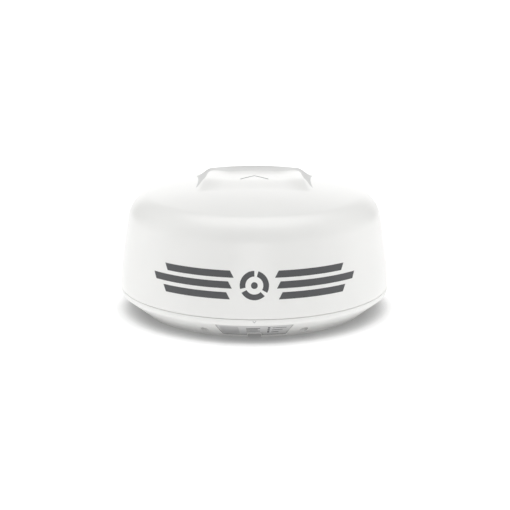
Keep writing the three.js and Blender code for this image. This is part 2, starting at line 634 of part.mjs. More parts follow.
function makeArray() {
  const hub = add(
    ring(24, SPINDLE_RADIUS + GAP, 78.6, 84, PEDESTAL_SEGMENTS),
    ring(17, SPINDLE_RADIUS + GAP, 83, HUB_TOP_Z, PEDESTAL_SEGMENTS),
    cut(block([-34, 34], [-15, 15], [91, HUB_TOP_Z]), rod(SPINDLE_RADIUS + GAP, 80, 100, 0, 0, PEDESTAL_SEGMENTS)),
  );
  const holes = ARRAY_SCREWS.map((x) => rod(2.4, 80, 110, x, 0, 12));
  piece('antenna_hub', cut(hub, ...holes), ALUMINIUM);

  // A pressed channel joins the hub to the array and stiffens it along its length.
  const low = HUB_TOP_Z + GAP;
  const channel = add(
    block([-150, 150], [-17, 17], [low, low + 2.5]),
    block([-150, 150], [14.5, 17], [low, ARRAY_BOTTOM_Z + 42]),
    block([-150, 150], [-17, -14.5], [low, low + 12]),
  );
  const windows = [-105, -60, 60, 105].map((x) => block([x - 14, x + 14], [10, 20], [low + 12, low + 36]));
  const coaxHole = rodY(5, 10, 20, 0, COAX_Z);
  piece('array_bracket', cut(channel, rod(9, 90, 110), coaxHole, ...windows, ...holes), ALUMINIUM);
  ARRAY_SCREWS.forEach((x, i) => {
    const screw = add(
      cut(rod(3.8, low + 2.8, low + 6.8, x, 0, 16), rod(1.9, low + 4.6, low + 8, x, 0, 6)),
      rod(2, 90, low + 3, x, 0, 12),
    );
    piece(`array_screw_${i + 1}`, screw, STAINLESS);
  });

  const back = 17 + GAP;
  const half = ARRAY_HALF_LENGTH - 4;
  const tray = cut(
    block([-half, half], [back, back + 16], [ARRAY_BOTTOM_Z, ARRAY_TOP_Z]),
    block([-half - 1, half + 1], [back + 2, back + 18], [ARRAY_BOTTOM_Z + 2, ARRAY_TOP_Z - 2]),
    rodY(4, back - 1, back + 4, 0, COAX_Z),
  );
  piece('array_reflector', tray, ALUMINIUM);
  const board = block([-half + 1, half - 1], [back + 11, back + 12.6], [ARRAY_BOTTOM_Z + 2.3, ARRAY_TOP_Z - 2.3]);
  piece('array_board', board, CIRCUIT_BOARD);
  for (const [name, s] of [['array_end_cap_left', -1], ['array_end_cap_right', 1]]) {
    const cap = block([0, 4 - GAP], [back - 0.5, back + 16.5], [ARRAY_BOTTOM_Z - 0.5, ARRAY_TOP_Z + 0.5]);
    piece(name, cap.translate([s > 0 ? half + GAP : -half - 4, 0, 0]), BLACK_PLASTIC);
  }
  const weight = block([-45, 45], [-35, -17 - GAP], [low, low + 12]);
  piece('balance_weight', weight, STAINLESS);
  const route = [[0, 0, 61], [0, 0, 88], [0, 0, 106], [0, 1.5, 122], [0, 8, 134], [0, 17, COAX_Z], [0, 24, COAX_Z]];
  piece('array_coax', lead(route, 2, 16), COPPER);
}
const ARRAY_SCREWS = [-26, 26];

// ---------- electronics ----------
function makeElectronics() {
  const boardLow = POST_TOP_Z + GAP;
  const boardTop = boardLow + 1.6;
  piece('main_board', block([-178, -62], [-38, 88], [boardLow, boardTop]), CIRCUIT_BOARD);
  const can = cut(
    block([-160, -84], [-20, 44], [boardTop + GAP, boardTop + 15]),
    block([-159, -85], [-19, 43], [boardTop - 1, boardTop + 14]),
  );
  piece('rf_shield', can, STAINLESS);
  piece('power_board', block([68, 154], [-92, -28], [boardLow, boardTop]), CIRCUIT_BOARD);
  const fins = [76, 84, 92, 100, 108, 116].map((x) => block([x, x + 3], [-80, -40], [boardTop + 8, boardTop + 22]));
  piece('transmitter_module', add(block([74, 122], [-82, -38], [boardTop + GAP, boardTop + 9]), ...fins), ALUMINIUM);

  const postFoot = block([-8, 8], [66, 78], [FLOOR_THICKNESS + GAP, FLOOR_THICKNESS + 3]);
  const postBlade = block([-6, 6], [66, 69], [FLOOR_THICKNESS + GAP, 60]);
  const postArm = block([-6, 6], [40, 69], [57, 60]);
  piece('index_sensor_bracket', add(postFoot, postBlade, postArm).rotate([0, 0, 30]), ALUMINIUM);
  piece('index_sensor', block([-5, 5], [44, 56], [60.3, 66]).rotate([0, 0, 30]), BLACK_PLASTIC);

  const backOfSocket = RECESS.bow + 14 + GAP;
  piece('network_lead', lead([
    [SOCKET_X, backOfSocket, 19], [SOCKET_X, -41, 19], [10, -34, 14.5], [-14, -34, 14], [-40, -38, 16],
    [-60, -36, 19], [-70, -32, 19.5], [-74, -30, 18],
  ], 2, 18), BLACK_PLASTIC);
  piece('power_lead', lead([
    [-SOCKET_X, backOfSocket, 19], [-SOCKET_X, -41, 19.5], [-12, -36, 25], [12, -37, 27], [40, -41, 26],
    [60, -50, 22], [71, -56, 18.8],
  ], 2, 18), RUBBER);
  piece('motor_lead', lead([
    [MOTOR_POS.x, MOTOR_POS.y + 21.5, 30], [MOTOR_POS.x, 84, 29.5], [84, 96, 18], [50, 98, 10], [0, 92, 9],
    [-40, 86, 12], [-58, 76, 17], [-66, 70, 18.2],
  ], 1.8, 18), RUBBER);
  const feed = [[-18.2, 0, 9.5], [-32, 0, 9.5], [-48, 1, 13], [-58, 3, 19], [-70, 7, 22], [-82.8, 9, 22]];
  piece('feed_coax', lead(feed, 1.6, 12), COPPER);
}

makeCover();
makeBase();
makeLabel();
makeBaseFittings();
makeCoverScrews();
makePedestal();
makeDrive();
makeSpindle();
makeArray();
makeElectronics();

export default dome;
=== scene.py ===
import math

import bmesh
import bpy
from bpy.props import FloatProperty, FloatVectorProperty, IntProperty, PointerProperty
from mathutils import Matrix, Vector
from mathutils.geometry import delaunay_2d_cdt


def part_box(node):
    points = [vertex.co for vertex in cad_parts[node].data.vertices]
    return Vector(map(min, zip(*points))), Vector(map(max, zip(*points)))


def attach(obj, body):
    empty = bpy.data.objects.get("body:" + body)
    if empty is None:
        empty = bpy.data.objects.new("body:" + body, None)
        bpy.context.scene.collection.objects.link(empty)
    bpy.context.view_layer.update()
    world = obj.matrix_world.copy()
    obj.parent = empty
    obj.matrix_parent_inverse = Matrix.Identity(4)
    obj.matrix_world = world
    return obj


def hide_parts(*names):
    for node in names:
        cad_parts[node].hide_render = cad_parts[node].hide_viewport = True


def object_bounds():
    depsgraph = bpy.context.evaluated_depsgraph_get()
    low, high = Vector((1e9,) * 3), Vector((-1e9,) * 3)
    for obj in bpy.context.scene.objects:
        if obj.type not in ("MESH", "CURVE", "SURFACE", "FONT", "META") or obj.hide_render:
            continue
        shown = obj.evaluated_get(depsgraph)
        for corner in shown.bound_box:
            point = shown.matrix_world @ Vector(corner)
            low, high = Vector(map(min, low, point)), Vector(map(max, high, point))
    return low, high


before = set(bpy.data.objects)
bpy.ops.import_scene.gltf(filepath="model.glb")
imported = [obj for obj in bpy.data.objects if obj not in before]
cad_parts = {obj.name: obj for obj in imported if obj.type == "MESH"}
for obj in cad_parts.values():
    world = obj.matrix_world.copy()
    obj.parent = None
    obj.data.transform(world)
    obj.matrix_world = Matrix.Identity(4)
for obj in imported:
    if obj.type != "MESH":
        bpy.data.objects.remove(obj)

bl_info = {
    "name": "Radar Dome Antenna",
    "version": (1, 0, 0),
    "blender": (4, 5, 0),
    "location": "View3D > Sidebar > Radar Dome",
    "description": "Builds the finished surfaces of a boat's radar dome round its fixed frame",
    "category": "Object",
}

MM = 0.001
CAD_LOW, CAD_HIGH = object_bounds()

# Sizes in millimetres, the same as the frame's.
SEAM_Z = 45.4
RIM_Z = 45.8
BASE_TOP_Z = 45.0
FOOT_RADIUS = 211
SKIRT_Z = 37
SIDE_TAPER = math.radians(8.46)
SIDE_CURVE_HEIGHT = 52
SHOULDER_RADIUS = 52.6
CROWN_RADIUS = 1028
CROWN_TOP_Z = 240.5
COVER_WALL = 4
CAP_RADIUS = 214  # the crown inside this radius carries the raised pad
PAD_AFT_Y = -60
PAD_LIP_Y = 118
PAD_BOW_Y = 168
LIP_CROSS_RADIUS = 745
COVER_SCREW_ANGLES = (-156.6, -90, -23.4, 23.4, 90, 156.6)
COVER_SCREW_RADIUS = 224
COVER_BOSS_TOP = 72
BOSS_TOP_Z = 44.6
POCKET_DEPTH = 24
MOUNTS = [(x, y) for x in (-83, 83) for y in (-117, 117)]
BOARD_POSTS = [(-172, -32), (-68, -32), (-172, 82), (-68, 82), (74, -86), (148, -86), (74, -34), (148, -34)]
SOCKETS = {"power_socket": -26, "network_socket": 26}
SOCKET_Z = 19
RECESS_BOW_Y = -60
VENT = (-44, -92)
MOTOR = (98, 56)
IDLER = (58, 92)
MAIN_TEETH = 80
MOTOR_TEETH = 16
MAIN_TIP = MAIN_TEETH * 5 / (2 * math.pi) - 0.6
MOTOR_TIP = MOTOR_TEETH * 5 / (2 * math.pi) - 0.6
BELT_LOW_Z = 72
BELT_HIGH_Z = 82
FLOOR_REACH = 60000
CAMERA_AIM = Vector((0, 0, 0.09787))  # the point the lens looks at, in metres
CAMERA_SHIFT = 0.00127
CONTACT_SHADE_REACH = 0.06  # how far the shade round the foot spreads, in metres
SOFTBOX_SIZE = 1.4
SOFTBOXES = {  # place in metres and power in watts
    "left_softbox": ((-2.2, 0.4, 0.1), 3.5),
    "right_softbox": ((2.2, 0.4, 0.1), 4.1),
    "front_softbox": ((0, -3.2, 0.1), 13),
}


# ---------- sizes and colours that a user may change ----------
def length(name, description, millimetres):
    return FloatProperty(name=name, description=description, default=millimetres * MM, unit="LENGTH")


def colour(name, description, hex_value):
    return FloatVectorProperty(
        name=name, description=description, default=linear(hex_value)[:3], subtype="COLOR",
        min=0, max=1,
    )


def linear(shade):
    """An sRGB hex colour as linear red, green, blue and alpha. A setting's colour is linear already."""
    if not isinstance(shade, str):
        return (*shade[:3], 1.0)
    parts = [int(shade[i:i + 2], 16) / 255 for i in (1, 3, 5)]
    return tuple(c / 12.92 if c <= 0.04045 else ((c + 0.055) / 1.055) ** 2.4 for c in parts) + (1.0,)


class CoverSettings(bpy.types.PropertyGroup):
    pad_crest: length("Pad crest", "Height of the pad's side crests above the crown", 9)
    pad_dish: length("Pad dish", "Depth of the pad's dished middle below its crests", 5.5)
    lip_cove: length("Lip cove", "Length of the cove that turns the pad up into its bow lip", 20)
    segments: IntProperty(name="Segments", description="Facets round the dome", default=288, min=48, max=480)
    moulding_colour: colour("Moulding colour", "Colour of the moulded cover", "#f1f1ef")


class BaseSettings(bpy.types.PropertyGroup):
    segments: IntProperty(name="Segments", description="Facets round the base", default=240, min=48, max=480)
    notch_width: length("Notch width", "Width of the cable notch at the aft foot", 24)
    notch_height: length("Notch height", "Height of the cable notch above the deck", 9)
    paint_colour: colour("Paint colour", "Colour of the powder coat on the base", "#f4f4f2")


class MarkSettings(bpy.types.PropertyGroup):
    stroke: length("Stroke", "Width of the bars of the printed band", 13.5)
    low_edge: length("Low edge", "Height of the printed band's lower edge", 81)
    high_edge: length("High edge", "Height of the printed band's upper edge", 133)
    half_length: length("Half length", "Half of the band's length round the dome", 196)
    ink_colour: colour("Ink colour", "Colour of the printed marks", "#505153")


class DriveSettings(bpy.types.PropertyGroup):
    belt_thickness: length("Belt thickness", "Thickness of the toothed belt's backing", 1.6)
    tooth_height: length("Tooth height", "Height of the pulley teeth", 2)


class ArraySettings(bpy.types.PropertyGroup):
    patch_columns: IntProperty(
        name="Patch columns", description="Printed patches along the array", default=28, min=4)
    patch_rows: IntProperty(
        name="Patch rows", description="Printed patches up the array", default=4, min=1)
    patch_size: length("Patch size", "Side of one printed patch", 9.5)


class StageSettings(bpy.types.PropertyGroup):
    camera_distance: FloatProperty(
        name="Camera distance", description="Distance from the lens to the middle of the dome",
        default=3.2, unit="LENGTH")
    camera_pitch: FloatProperty(
        name="Camera pitch", description="Angle by which the camera looks down",
        default=math.radians(14.611), subtype="ANGLE")
    lens: FloatProperty(name="Lens", description="Focal length in millimetres", default=118.15)
    floor_colour: colour("Floor colour", "Colour of the plain floor", "#f8f8f8")


# ---------- nodes ----------
def add_node(tree, kind, links=None, **settings):
    """Adds one node. links gives each input a value, or the socket that feeds it."""
    node = tree.nodes.new(kind)
    for key, value in settings.items():
        setattr(node, key, value)
    for key, value in (links or {}).items():
        if isinstance(value, bpy.types.NodeSocket):
            tree.links.new(value, node.inputs[key])
        else:
            node.inputs[key].default_value = value
    return node


def new_tree(name, inputs):
    """An empty Geometry Nodes tree with named inputs, its input node and its output node."""
    tree = bpy.data.node_groups.new(name, "GeometryNodeTree")
    tree.interface.new_socket("Geometry", in_out="INPUT", socket_type="NodeSocketGeometry")
    for label, kind in inputs.items():
        tree.interface.new_socket(label, in_out="INPUT", socket_type="NodeSocket" + kind)
    tree.interface.new_socket("Geometry", in_out="OUTPUT", socket_type="NodeSocketGeometry")
    return tree, add_node(tree, "NodeGroupInput").outputs


def end_tree(tree, geometry, material):
    """Every tree ends alike: instances made real, then the finish set."""
    real = add_node(tree, "GeometryNodeRealizeInstances", {0: geometry})
    finished = add_node(tree, "GeometryNodeSetMaterial", {"Geometry": real.outputs[0], "Material": material})
    add_node(tree, "NodeGroupOutput", {0: finished.outputs[0]})
    return tree


def turning_tree():
    """Turns the object's points, taken in order as a profile of radius and height, about the Z axis."""
    if "turned_profile" in bpy.data.node_groups:
        return bpy.data.node_groups["turned_profile"]
    tree, given = new_tree("turned_profile", {"Segments": "Int", "Material": "Material"})
    size = add_node(tree, "GeometryNodeAttributeDomainSize", {0: given["Geometry"]}, component="MESH")
    around = add_node(tree, "ShaderNodeMath", {0: given["Segments"], 1: 1.0}, operation="ADD").outputs[0]
    grid = add_node(tree, "GeometryNodeMeshGrid", {
        "Vertices X": size.outputs["Point Count"], "Vertices Y": around})
    index = add_node(tree, "GeometryNodeInputIndex").outputs[0]
    share = add_node(tree, "ShaderNodeMath", {0: index, 1: around}, operation="DIVIDE").outputs[0]
    row = add_node(tree, "ShaderNodeMath", {0: share}, operation="FLOOR").outputs[0]
    column = add_node(tree, "ShaderNodeMath", {0: index, 1: around}, operation="MODULO").outputs[0]
    turn = add_node(tree, "ShaderNodeMath", {0: column, 1: given["Segments"]}, operation="DIVIDE").outputs[0]
    angle = add_node(tree, "ShaderNodeMath", {0: turn, 1: 2 * math.pi}, operation="MULTIPLY").outputs[0]
    place = add_node(tree, "GeometryNodeInputPosition").outputs[0]
    profile = add_node(
        tree, "GeometryNodeSampleIndex", {"Geometry": given["Geometry"], "Value": place, "Index": row},
        data_type="FLOAT_VECTOR", domain="POINT")
    turned_point = add_node(tree, "ShaderNodeVectorRotate", {
        "Vector": profile.outputs[0], "Angle": angle}, rotation_type="Z_AXIS")
    moved = add_node(tree, "GeometryNodeSetPosition", {
        "Geometry": grid.outputs[0], "Position": turned_point.outputs[0]})
    closed = add_node(tree, "GeometryNodeMergeByDistance", {"Geometry": moved.outputs[0], "Distance": 1e-6})
    return end_tree(tree, closed.outputs[0], given["Material"])


def copies_tree():
    """Puts a copy of one small part on each of the object's points."""
    if "copies_on_points" in bpy.data.node_groups:
        return bpy.data.node_groups["copies_on_points"]
    tree, given = new_tree("copies_on_points", {
        "Part": "Object", "Centre": "Vector", "Facing Out": "Float", "Random Turn": "Float",
        "Seed": "Int", "Material": "Material"})
    place = add_node(tree, "GeometryNodeInputPosition").outputs[0]
    arm = add_node(tree, "ShaderNodeVectorMath", {0: place, 1: given["Centre"]}, operation="SUBTRACT")
    parts = add_node(tree, "ShaderNodeSeparateXYZ", {0: arm.outputs[0]}).outputs
    heading = add_node(tree, "ShaderNodeMath", {0: parts[1], 1: parts[0]}, operation="ARCTAN2").outputs[0]
    outward = add_node(
        tree, "ShaderNodeMath", {0: heading, 1: given["Facing Out"]}, operation="MULTIPLY").outputs[0]
    chance = add_node(tree, "FunctionNodeRandomValue", {"Seed": given["Seed"]}, data_type="FLOAT")
    spin = add_node(tree, "ShaderNodeMath", {
        0: chance.outputs["Value"], 1: given["Random Turn"], 2: outward}, operation="MULTIPLY_ADD").outputs[0]
    turn = add_node(tree, "ShaderNodeCombineXYZ", {"Z": spin}).outputs[0]
    part = add_node(tree, "GeometryNodeObjectInfo", {"Object": given["Part"]})
    placed = add_node(tree, "GeometryNodeInstanceOnPoints", {
        "Points": given["Geometry"], "Instance": part.outputs["Geometry"], "Rotation": turn})
    return end_tree(tree, placed.outputs[0], given["Material"])


def lead_tree():
    """Runs a round lead along the object's points on a smooth curve."""
    if "lead_on_route" in bpy.data.node_groups:
        return bpy.data.node_groups["lead_on_route"]
    tree, given = new_tree("lead_on_route", {"Radius": "Float", "Step": "Float", "Material": "Material"})
    line = add_node(tree, "GeometryNodeMeshToCurve", {0: given["Geometry"]})
    smooth_line = add_node(
        tree, "GeometryNodeCurveSplineType", {0: line.outputs[0]}, spline_type="CATMULL_ROM")
    even = add_node(tree, "GeometryNodeResampleCurve", {
        "Curve": smooth_line.outputs[0], "Length": given["Step"]}, mode="LENGTH")
    section = add_node(
        tree, "GeometryNodeCurvePrimitiveCircle", {"Resolution": 16, "Radius": given["Radius"]})
    tube = add_node(tree, "GeometryNodeCurveToMesh", {
        "Curve": even.outputs[0], "Profile Curve": section.outputs[0], "Fill Caps": True})
    return end_tree(tree, tube.outputs[0], given["Material"])


def grow(obj, tree, **values):
    """Runs a tree on an object, with its inputs set by identifier, and leaves the plain result."""
    modifier = obj.modifiers.new(tree.name, "NODES")
    modifier.node_group = tree
    for item in tree.interface.items_tree:
        key = item.name.lower().replace(" ", "_")
        if item.in_out == "INPUT" and key in values:
            modifier[item.identifier] = values[key]
    return plain(obj)


def plain(obj):
    """Leaves the object with its evaluated mesh and no modifiers."""
    bpy.context.view_layer.update()
    made = bpy.data.meshes.new_from_object(obj.evaluated_get(bpy.context.evaluated_depsgraph_get()))
    old = obj.data
    obj.modifiers.clear()
    obj.data = made
    bpy.data.meshes.remove(old)
    return obj


# ---------- meshes ----------
def new_object(name, points, faces=(), edges=()):
    """An object from points in millimetres."""
    mesh = bpy.data.meshes.new(name)
    mesh.from_pydata([(x * MM, y * MM, z * MM) for x, y, z in points], edges, faces)
    obj = bpy.data.objects.new(name, mesh)
    bpy.context.scene.collection.objects.link(obj)
    return obj


def tidied(obj, sharp=35):
    """Merges doubles, turns every face outwards and keeps edges past the angle sharp."""
    work = bmesh.new()
    work.from_mesh(obj.data)
    bmesh.ops.remove_doubles(work, verts=work.verts, dist=1e-6)
    bmesh.ops.dissolve_degenerate(work, edges=work.edges, dist=1e-7)
    bmesh.ops.recalc_face_normals(work, faces=work.faces)
    for face in work.faces:
        face.smooth = True
    work.to_mesh(obj.data)
    work.free()
    obj.data.set_sharp_from_angle(angle=math.radians(sharp))
    return obj


def placed(obj, offset=(0, 0, 0), turn=None):
    """Moves and turns the mesh itself, so that the object stays at the origin."""
    place = Matrix.Translation(Vector(offset) * MM)
    obj.data.transform(place @ turn if turn else place)
    return obj


def turned(name, profile, material, segments=96, offset=(0, 0, 0), turn=None):
    """A profile of [radius, height] points turned about an upright axis. It closes on itself
    unless both its ends lie on the axis."""
    open_ends = profile[0][0] == 0 and profile[-1][0] == 0
    line = list(profile) if open_ends else list(profile) + [profile[0]]
    obj = new_object(name, [(r, 0, z) for r, z in line])
    grow(obj, turning_tree(), segments=segments, material=material)
    return placed(tidied(obj), offset, turn)


def eased(points, radius, steps=4, closed=True):
    """The same outline with its corners rounded."""
    line = []
    count = len(points)
    for i, corner in enumerate(points):
        if not closed and i in (0, count - 1):
            line.append(tuple(corner))
            continue
        here = Vector(corner)
        back = Vector(points[i - 1]) - here
        ahead = Vector(points[(i + 1) % count]) - here
        reach = min(radius, back.length * 0.48, ahead.length * 0.48)
        start = here + back.normalized() * reach
        end = here + ahead.normalized() * reach
        for k in range(steps + 1):
            t = k / steps
            line.append(tuple(start * (1 - t) ** 2 + here * 2 * t * (1 - t) + end * t ** 2))
    return line


def ring(name, outer, inner, low, high, material, ease=0.6, segments=96, **place):
    corners = [(inner, low), (outer, low), (outer, high), (inner, high)]
    return turned(name, eased(corners, ease, 3), material, segments, **place)


def rod(name, radius, low, high, material=None, ease=0.5, segments=48, **place):
    corners = [(0, low), (radius, low), (radius, high), (0, high)]
    return turned(name, eased(corners, ease, 3, closed=False), material, segments, **place)


def extruded(name, outline, low, high, material=None):
    """An outline of (x, y) points pulled up between two heights."""
    count = len(outline)
    points = [(x, y, low) for x, y in outline] + [(x, y, high) for x, y in outline]
    faces = [tuple(range(count))[::-1], tuple(range(count, 2 * count))]
    faces += [(i, (i + 1) % count, count + (i + 1) % count, count + i) for i in range(count)]
    obj = tidied(new_object(name, points, faces))
    obj.data.materials.append(material)
    return obj


def box_outline(x0, x1, y0, y1):
    return [(x0, y0), (x1, y0), (x1, y1), (x0, y1)]


def bent_box(name, x, y, z, material=None, ease=0.0):
    """A block between pairs of bounds, its upright corners rounded."""
    outline = box_outline(*x, *y)
    return extruded(name, eased(outline, ease) if ease else outline, *z, material)


def combined(obj, tools, operation):
    """Joins tools to the object or cuts them out of it, and removes the tools."""
    group = bpy.data.collections.new("tools")
    bpy.context.scene.collection.children.link(group)
    for tool in tools:
        group.objects.link(tool)
    modifier = obj.modifiers.new(operation, "BOOLEAN")
    modifier.operation = operation
    modifier.operand_type = "COLLECTION"
    modifier.collection = group
    modifier.solver = "EXACT"
    plain(obj)
    for tool in tools:
        bpy.data.objects.remove(tool)
    bpy.data.collections.remove(group)
    return tidied(obj)


def joined(name, parts):
    """One object from several, each keeping its own finish."""
    work = bmesh.new()
    finishes = []
    for part in parts:
        start = len(work.faces)
        work.from_mesh(part.data)
        work.faces.ensure_lookup_table()
        for face in work.faces[start:]:
            material = part.data.materials[face.material_index]
            if material not in finishes:
                finishes.append(material)
            face.material_index = finishes.index(material)
    mesh = bpy.data.meshes.new(name)
    work.to_mesh(mesh)
    work.free()
    for material in finishes:
        mesh.materials.append(material)
    for part in parts:
        bpy.data.objects.remove(part)
    obj = bpy.data.objects.new(name, mesh)
    bpy.context.scene.collection.objects.link(obj)
    mesh.set_sharp_from_angle(angle=math.radians(35))
    return obj


def softened(node, material, width=0.6):
    """A copy of a frame part with its sharp edges eased."""
    work = bmesh.new()
    work.from_mesh(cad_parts[node].data)
    bmesh.ops.remove_doubles(work, verts=work.verts, dist=2e-6)
    bmesh.ops.dissolve_limit(work, angle_limit=math.radians(1), verts=work.verts, edges=work.edges)
    mesh = bpy.data.meshes.new(node + "_finished")
    work.to_mesh(mesh)
    work.free()
    obj = bpy.data.objects.new(node + "_finished", mesh)
    bpy.context.scene.collection.objects.link(obj)
    mesh.materials.clear()
    mesh.materials.append(material)
    bevel = obj.modifiers.new("eased_edges", "BEVEL")
    bevel.width = width * MM
    bevel.segments = 2
    bevel.limit_method = "ANGLE"
    bevel.angle_limit = math.radians(30)
    plain(obj)
    obj.data.materials.clear()
    obj.data.materials.append(material)
    return tidied(obj)


def copies(name, part, points, material, **values):
    """One piece made of copies of a small part. The part itself is removed."""
    obj = new_object(name, points)
    grow(obj, copies_tree(), part=part, material=material, **values)
    bpy.data.objects.remove(part)
    return tidied(obj)


def lead(name, points, radius, material):
    edges = [(i, i + 1) for i in range(len(points) - 1)]
    obj = new_object(name, points, edges=edges)
    return tidied(grow(obj, lead_tree(), radius=radius * MM, step=2 * MM, material=material))


def wrapped(name, outlines, place, inner, outer, material, spacing=2.5):
    """Flat outlines laid on a curved surface as a thin solid between two offsets from it."""
    points = []
    faces = []
    for outline in outlines:
        edge = []
        for i, corner in enumerate(outline):
            here, ahead = Vector(corner), Vector(outline[(i + 1) % len(outline)])
            steps = max(1, math.ceil((ahead - here).length / spacing))
            edge += [here.lerp(ahead, k / steps) for k in range(steps)]
        xs, ys = [p.x for p in edge], [p.y for p in edge]
        inside = []
        for column in range(1, int((max(xs) - min(xs)) / spacing)):
            for row in range(1, int((max(ys) - min(ys)) / spacing)):
                point = Vector((min(xs) + column * spacing, min(ys) + row * spacing))
                if within(point, edge) and min((point - e).length for e in edge) > spacing / 2:
                    inside.append(point)
        loop = [(i, (i + 1) % len(edge)) for i in range(len(edge))]
        flat, _, triangles, *_ = delaunay_2d_cdt(edge + inside, loop, [], 1, 1e-4)
        for offset, flip in ((outer, 1), (inner, -1)):
            start = len(points)
            points += [place(p.x, p.y, offset) for p in flat]
            faces += [tuple(start + i for i in t)[::flip] for t in triangles]
        start = len(points) - 2 * len(flat)
        below = start + len(flat)
        sides = {}
        for t in triangles:
            for a, b in zip(t, t[1:] + t[:1]):
                sides[(a, b)] = sides.get((b, a)) is None
                if (b, a) in sides:
                    sides[(b, a)] = sides[(a, b)] = False
        rim = [pair for pair, alone in sides.items() if alone]
        faces += [(start + b, start + a, below + a, below + b) for a, b in rim]
    obj = tidied(new_object(name, points, faces))
    obj.data.materials.append(material)
    return obj


def within(point, outline):
    """Whether a flat point lies inside a closed outline."""
    inside = False
    for a, b in zip(outline, outline[1:] + outline[:1]):
        if (a.y > point.y) != (b.y > point.y) and point.x < a.x + (point.y - a.y) * (b.x - a.x) / (b.y - a.y):
            inside = not inside
    return inside


def show(obj, body, slot, *nodes):
    """Puts a finished piece on its body, in place of the frame's own parts."""
    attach(obj, body)
    if nodes:
        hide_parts(*nodes)


def round_outline(radius, centre=(0, 0), count=48):
    steps = [2 * math.pi * i / count for i in range(count)]
    return [(centre[0] + radius * math.cos(a), centre[1] + radius * math.sin(a)) for a in steps]


def from_aft(radius, degrees):
    a = math.radians(degrees)
    return radius * math.sin(a), -radius * math.cos(a)


# ---------- finishes ----------
def new_finish(name, hex_value, roughness, metallic=0.0, ior=1.5):
    material = bpy.data.materials.new(name)
    material.use_nodes = True
    shader = material.node_tree.nodes["Principled BSDF"]
    shader.inputs["Base Color"].default_value = linear(hex_value)
    shader.inputs["Roughness"].default_value = roughness
    shader.inputs["Metallic"].default_value = metallic
    if not metallic:
        shader.inputs["IOR"].default_value = ior
    return material, material.node_tree, shader


def relief(tree, shader, layers, stretch=(1, 1, 1)):
    """Bump from layers of noise, each a feature size and a height in millimetres."""
    coords = add_node(tree, "ShaderNodeTexCoord").outputs["Object"]
    spread = add_node(tree, "ShaderNodeMapping", {"Vector": coords, "Scale": stretch}).outputs[0]
    normal = None
    for size, height in layers:
        noise = add_node(
            tree, "ShaderNodeTexNoise", {"Vector": spread, "Scale": 1 / (size * MM), "Detail": 3.0})
        links = {"Height": noise.outputs[0], "Distance": height * MM, "Strength": 1.0}
        if normal:
            links["Normal"] = normal
        normal = add_node(tree, "ShaderNodeBump", links).outputs[0]
    tree.links.new(normal, shader.inputs["Normal"])


def drift(tree, shader, size, colours=None, roughness=None, stretch=(1, 1, 1)):
    """Lets the colour or the roughness drift between two values over patches of a size in mm."""
    coords = add_node(tree, "ShaderNodeTexCoord").outputs["Object"]
    spread = add_node(tree, "ShaderNodeMapping", {"Vector": coords, "Scale": stretch}).outputs[0]
    noise = add_node(tree, "ShaderNodeTexNoise", {"Vector": spread, "Scale": 1 / (size * MM), "Detail": 2.0})
    coloured = None
    if colours:
        mix = add_node(tree, "ShaderNodeMix", {
            "Factor": noise.outputs[0], 6: linear(colours[0]), 7: linear(colours[1])}, data_type="RGBA")
        tree.links.new(mix.outputs[2], shader.inputs["Base Color"])
        coloured = mix.outputs[2]
    if roughness:
        share = add_node(tree, "ShaderNodeMapRange", {
            "Value": noise.outputs[0], "From Min": 0.3, "From Max": 0.7,
            "To Min": roughness[0], "To Max": roughness[1]})
        tree.links.new(share.outputs[0], shader.inputs["Roughness"])
    return coloured


def scaled(colour, share):
    """A setting's colour, made a little darker or lighter."""
    return tuple(min(1.0, part * share) for part in colour)


def moulded_asa(name):
    """ASA moulded in a polished tool: white, softly glossy, with the faint ripple of a large
    moulding and a fine skin texture."""
    white = bpy.context.scene.radar_cover.moulding_colour
    material, tree, shader = new_finish(name, white, 0.3, ior=1.52)
    drift(tree, shader, 70, (scaled(white, 0.99), scaled(white, 1.02)))
    relief(tree, shader, [(22, 0.03), (1.6, 0.006)])
    return material


def textured_asa(name):
    """The same ASA where the tool is spark-eroded: matt and greyer, with a 1 mm grain. The grey is partly the
    finish's own colour and partly painted shade, and painted shade darkens it further out on the side slopes."""
    material, tree, shader = new_finish(name, "#d2d2d1", 0.55, ior=1.52)
    # Painted shade on the side slopes: the colour goes from #e3e3e2 to #d2d2d1 between 75 and 95 mm out from
    # the middle.
    coords = add_node(tree, "ShaderNodeTexCoord").outputs["Object"]
    across = add_node(tree, "ShaderNodeSeparateXYZ", {0: coords}).outputs["X"]
    out = add_node(tree, "ShaderNodeMath", {0: across}, operation="ABSOLUTE").outputs[0]
    slope_shade_share = add_node(tree, "ShaderNodeMapRange", {"Value": out, "From Min": 75 * MM, "From Max": 95 * MM})
    painted_shade_colour = add_node(tree, "ShaderNodeMix", {
        "Factor": slope_shade_share.outputs[0], 6: linear("#e3e3e2"), 7: linear("#d2d2d1")}, data_type="RGBA")
    tree.links.new(painted_shade_colour.outputs[2], shader.inputs["Base Color"])
    drift(tree, shader, 12, roughness=(0.5, 0.62))
    relief(tree, shader, [(1.0, 0.02)])
    return material


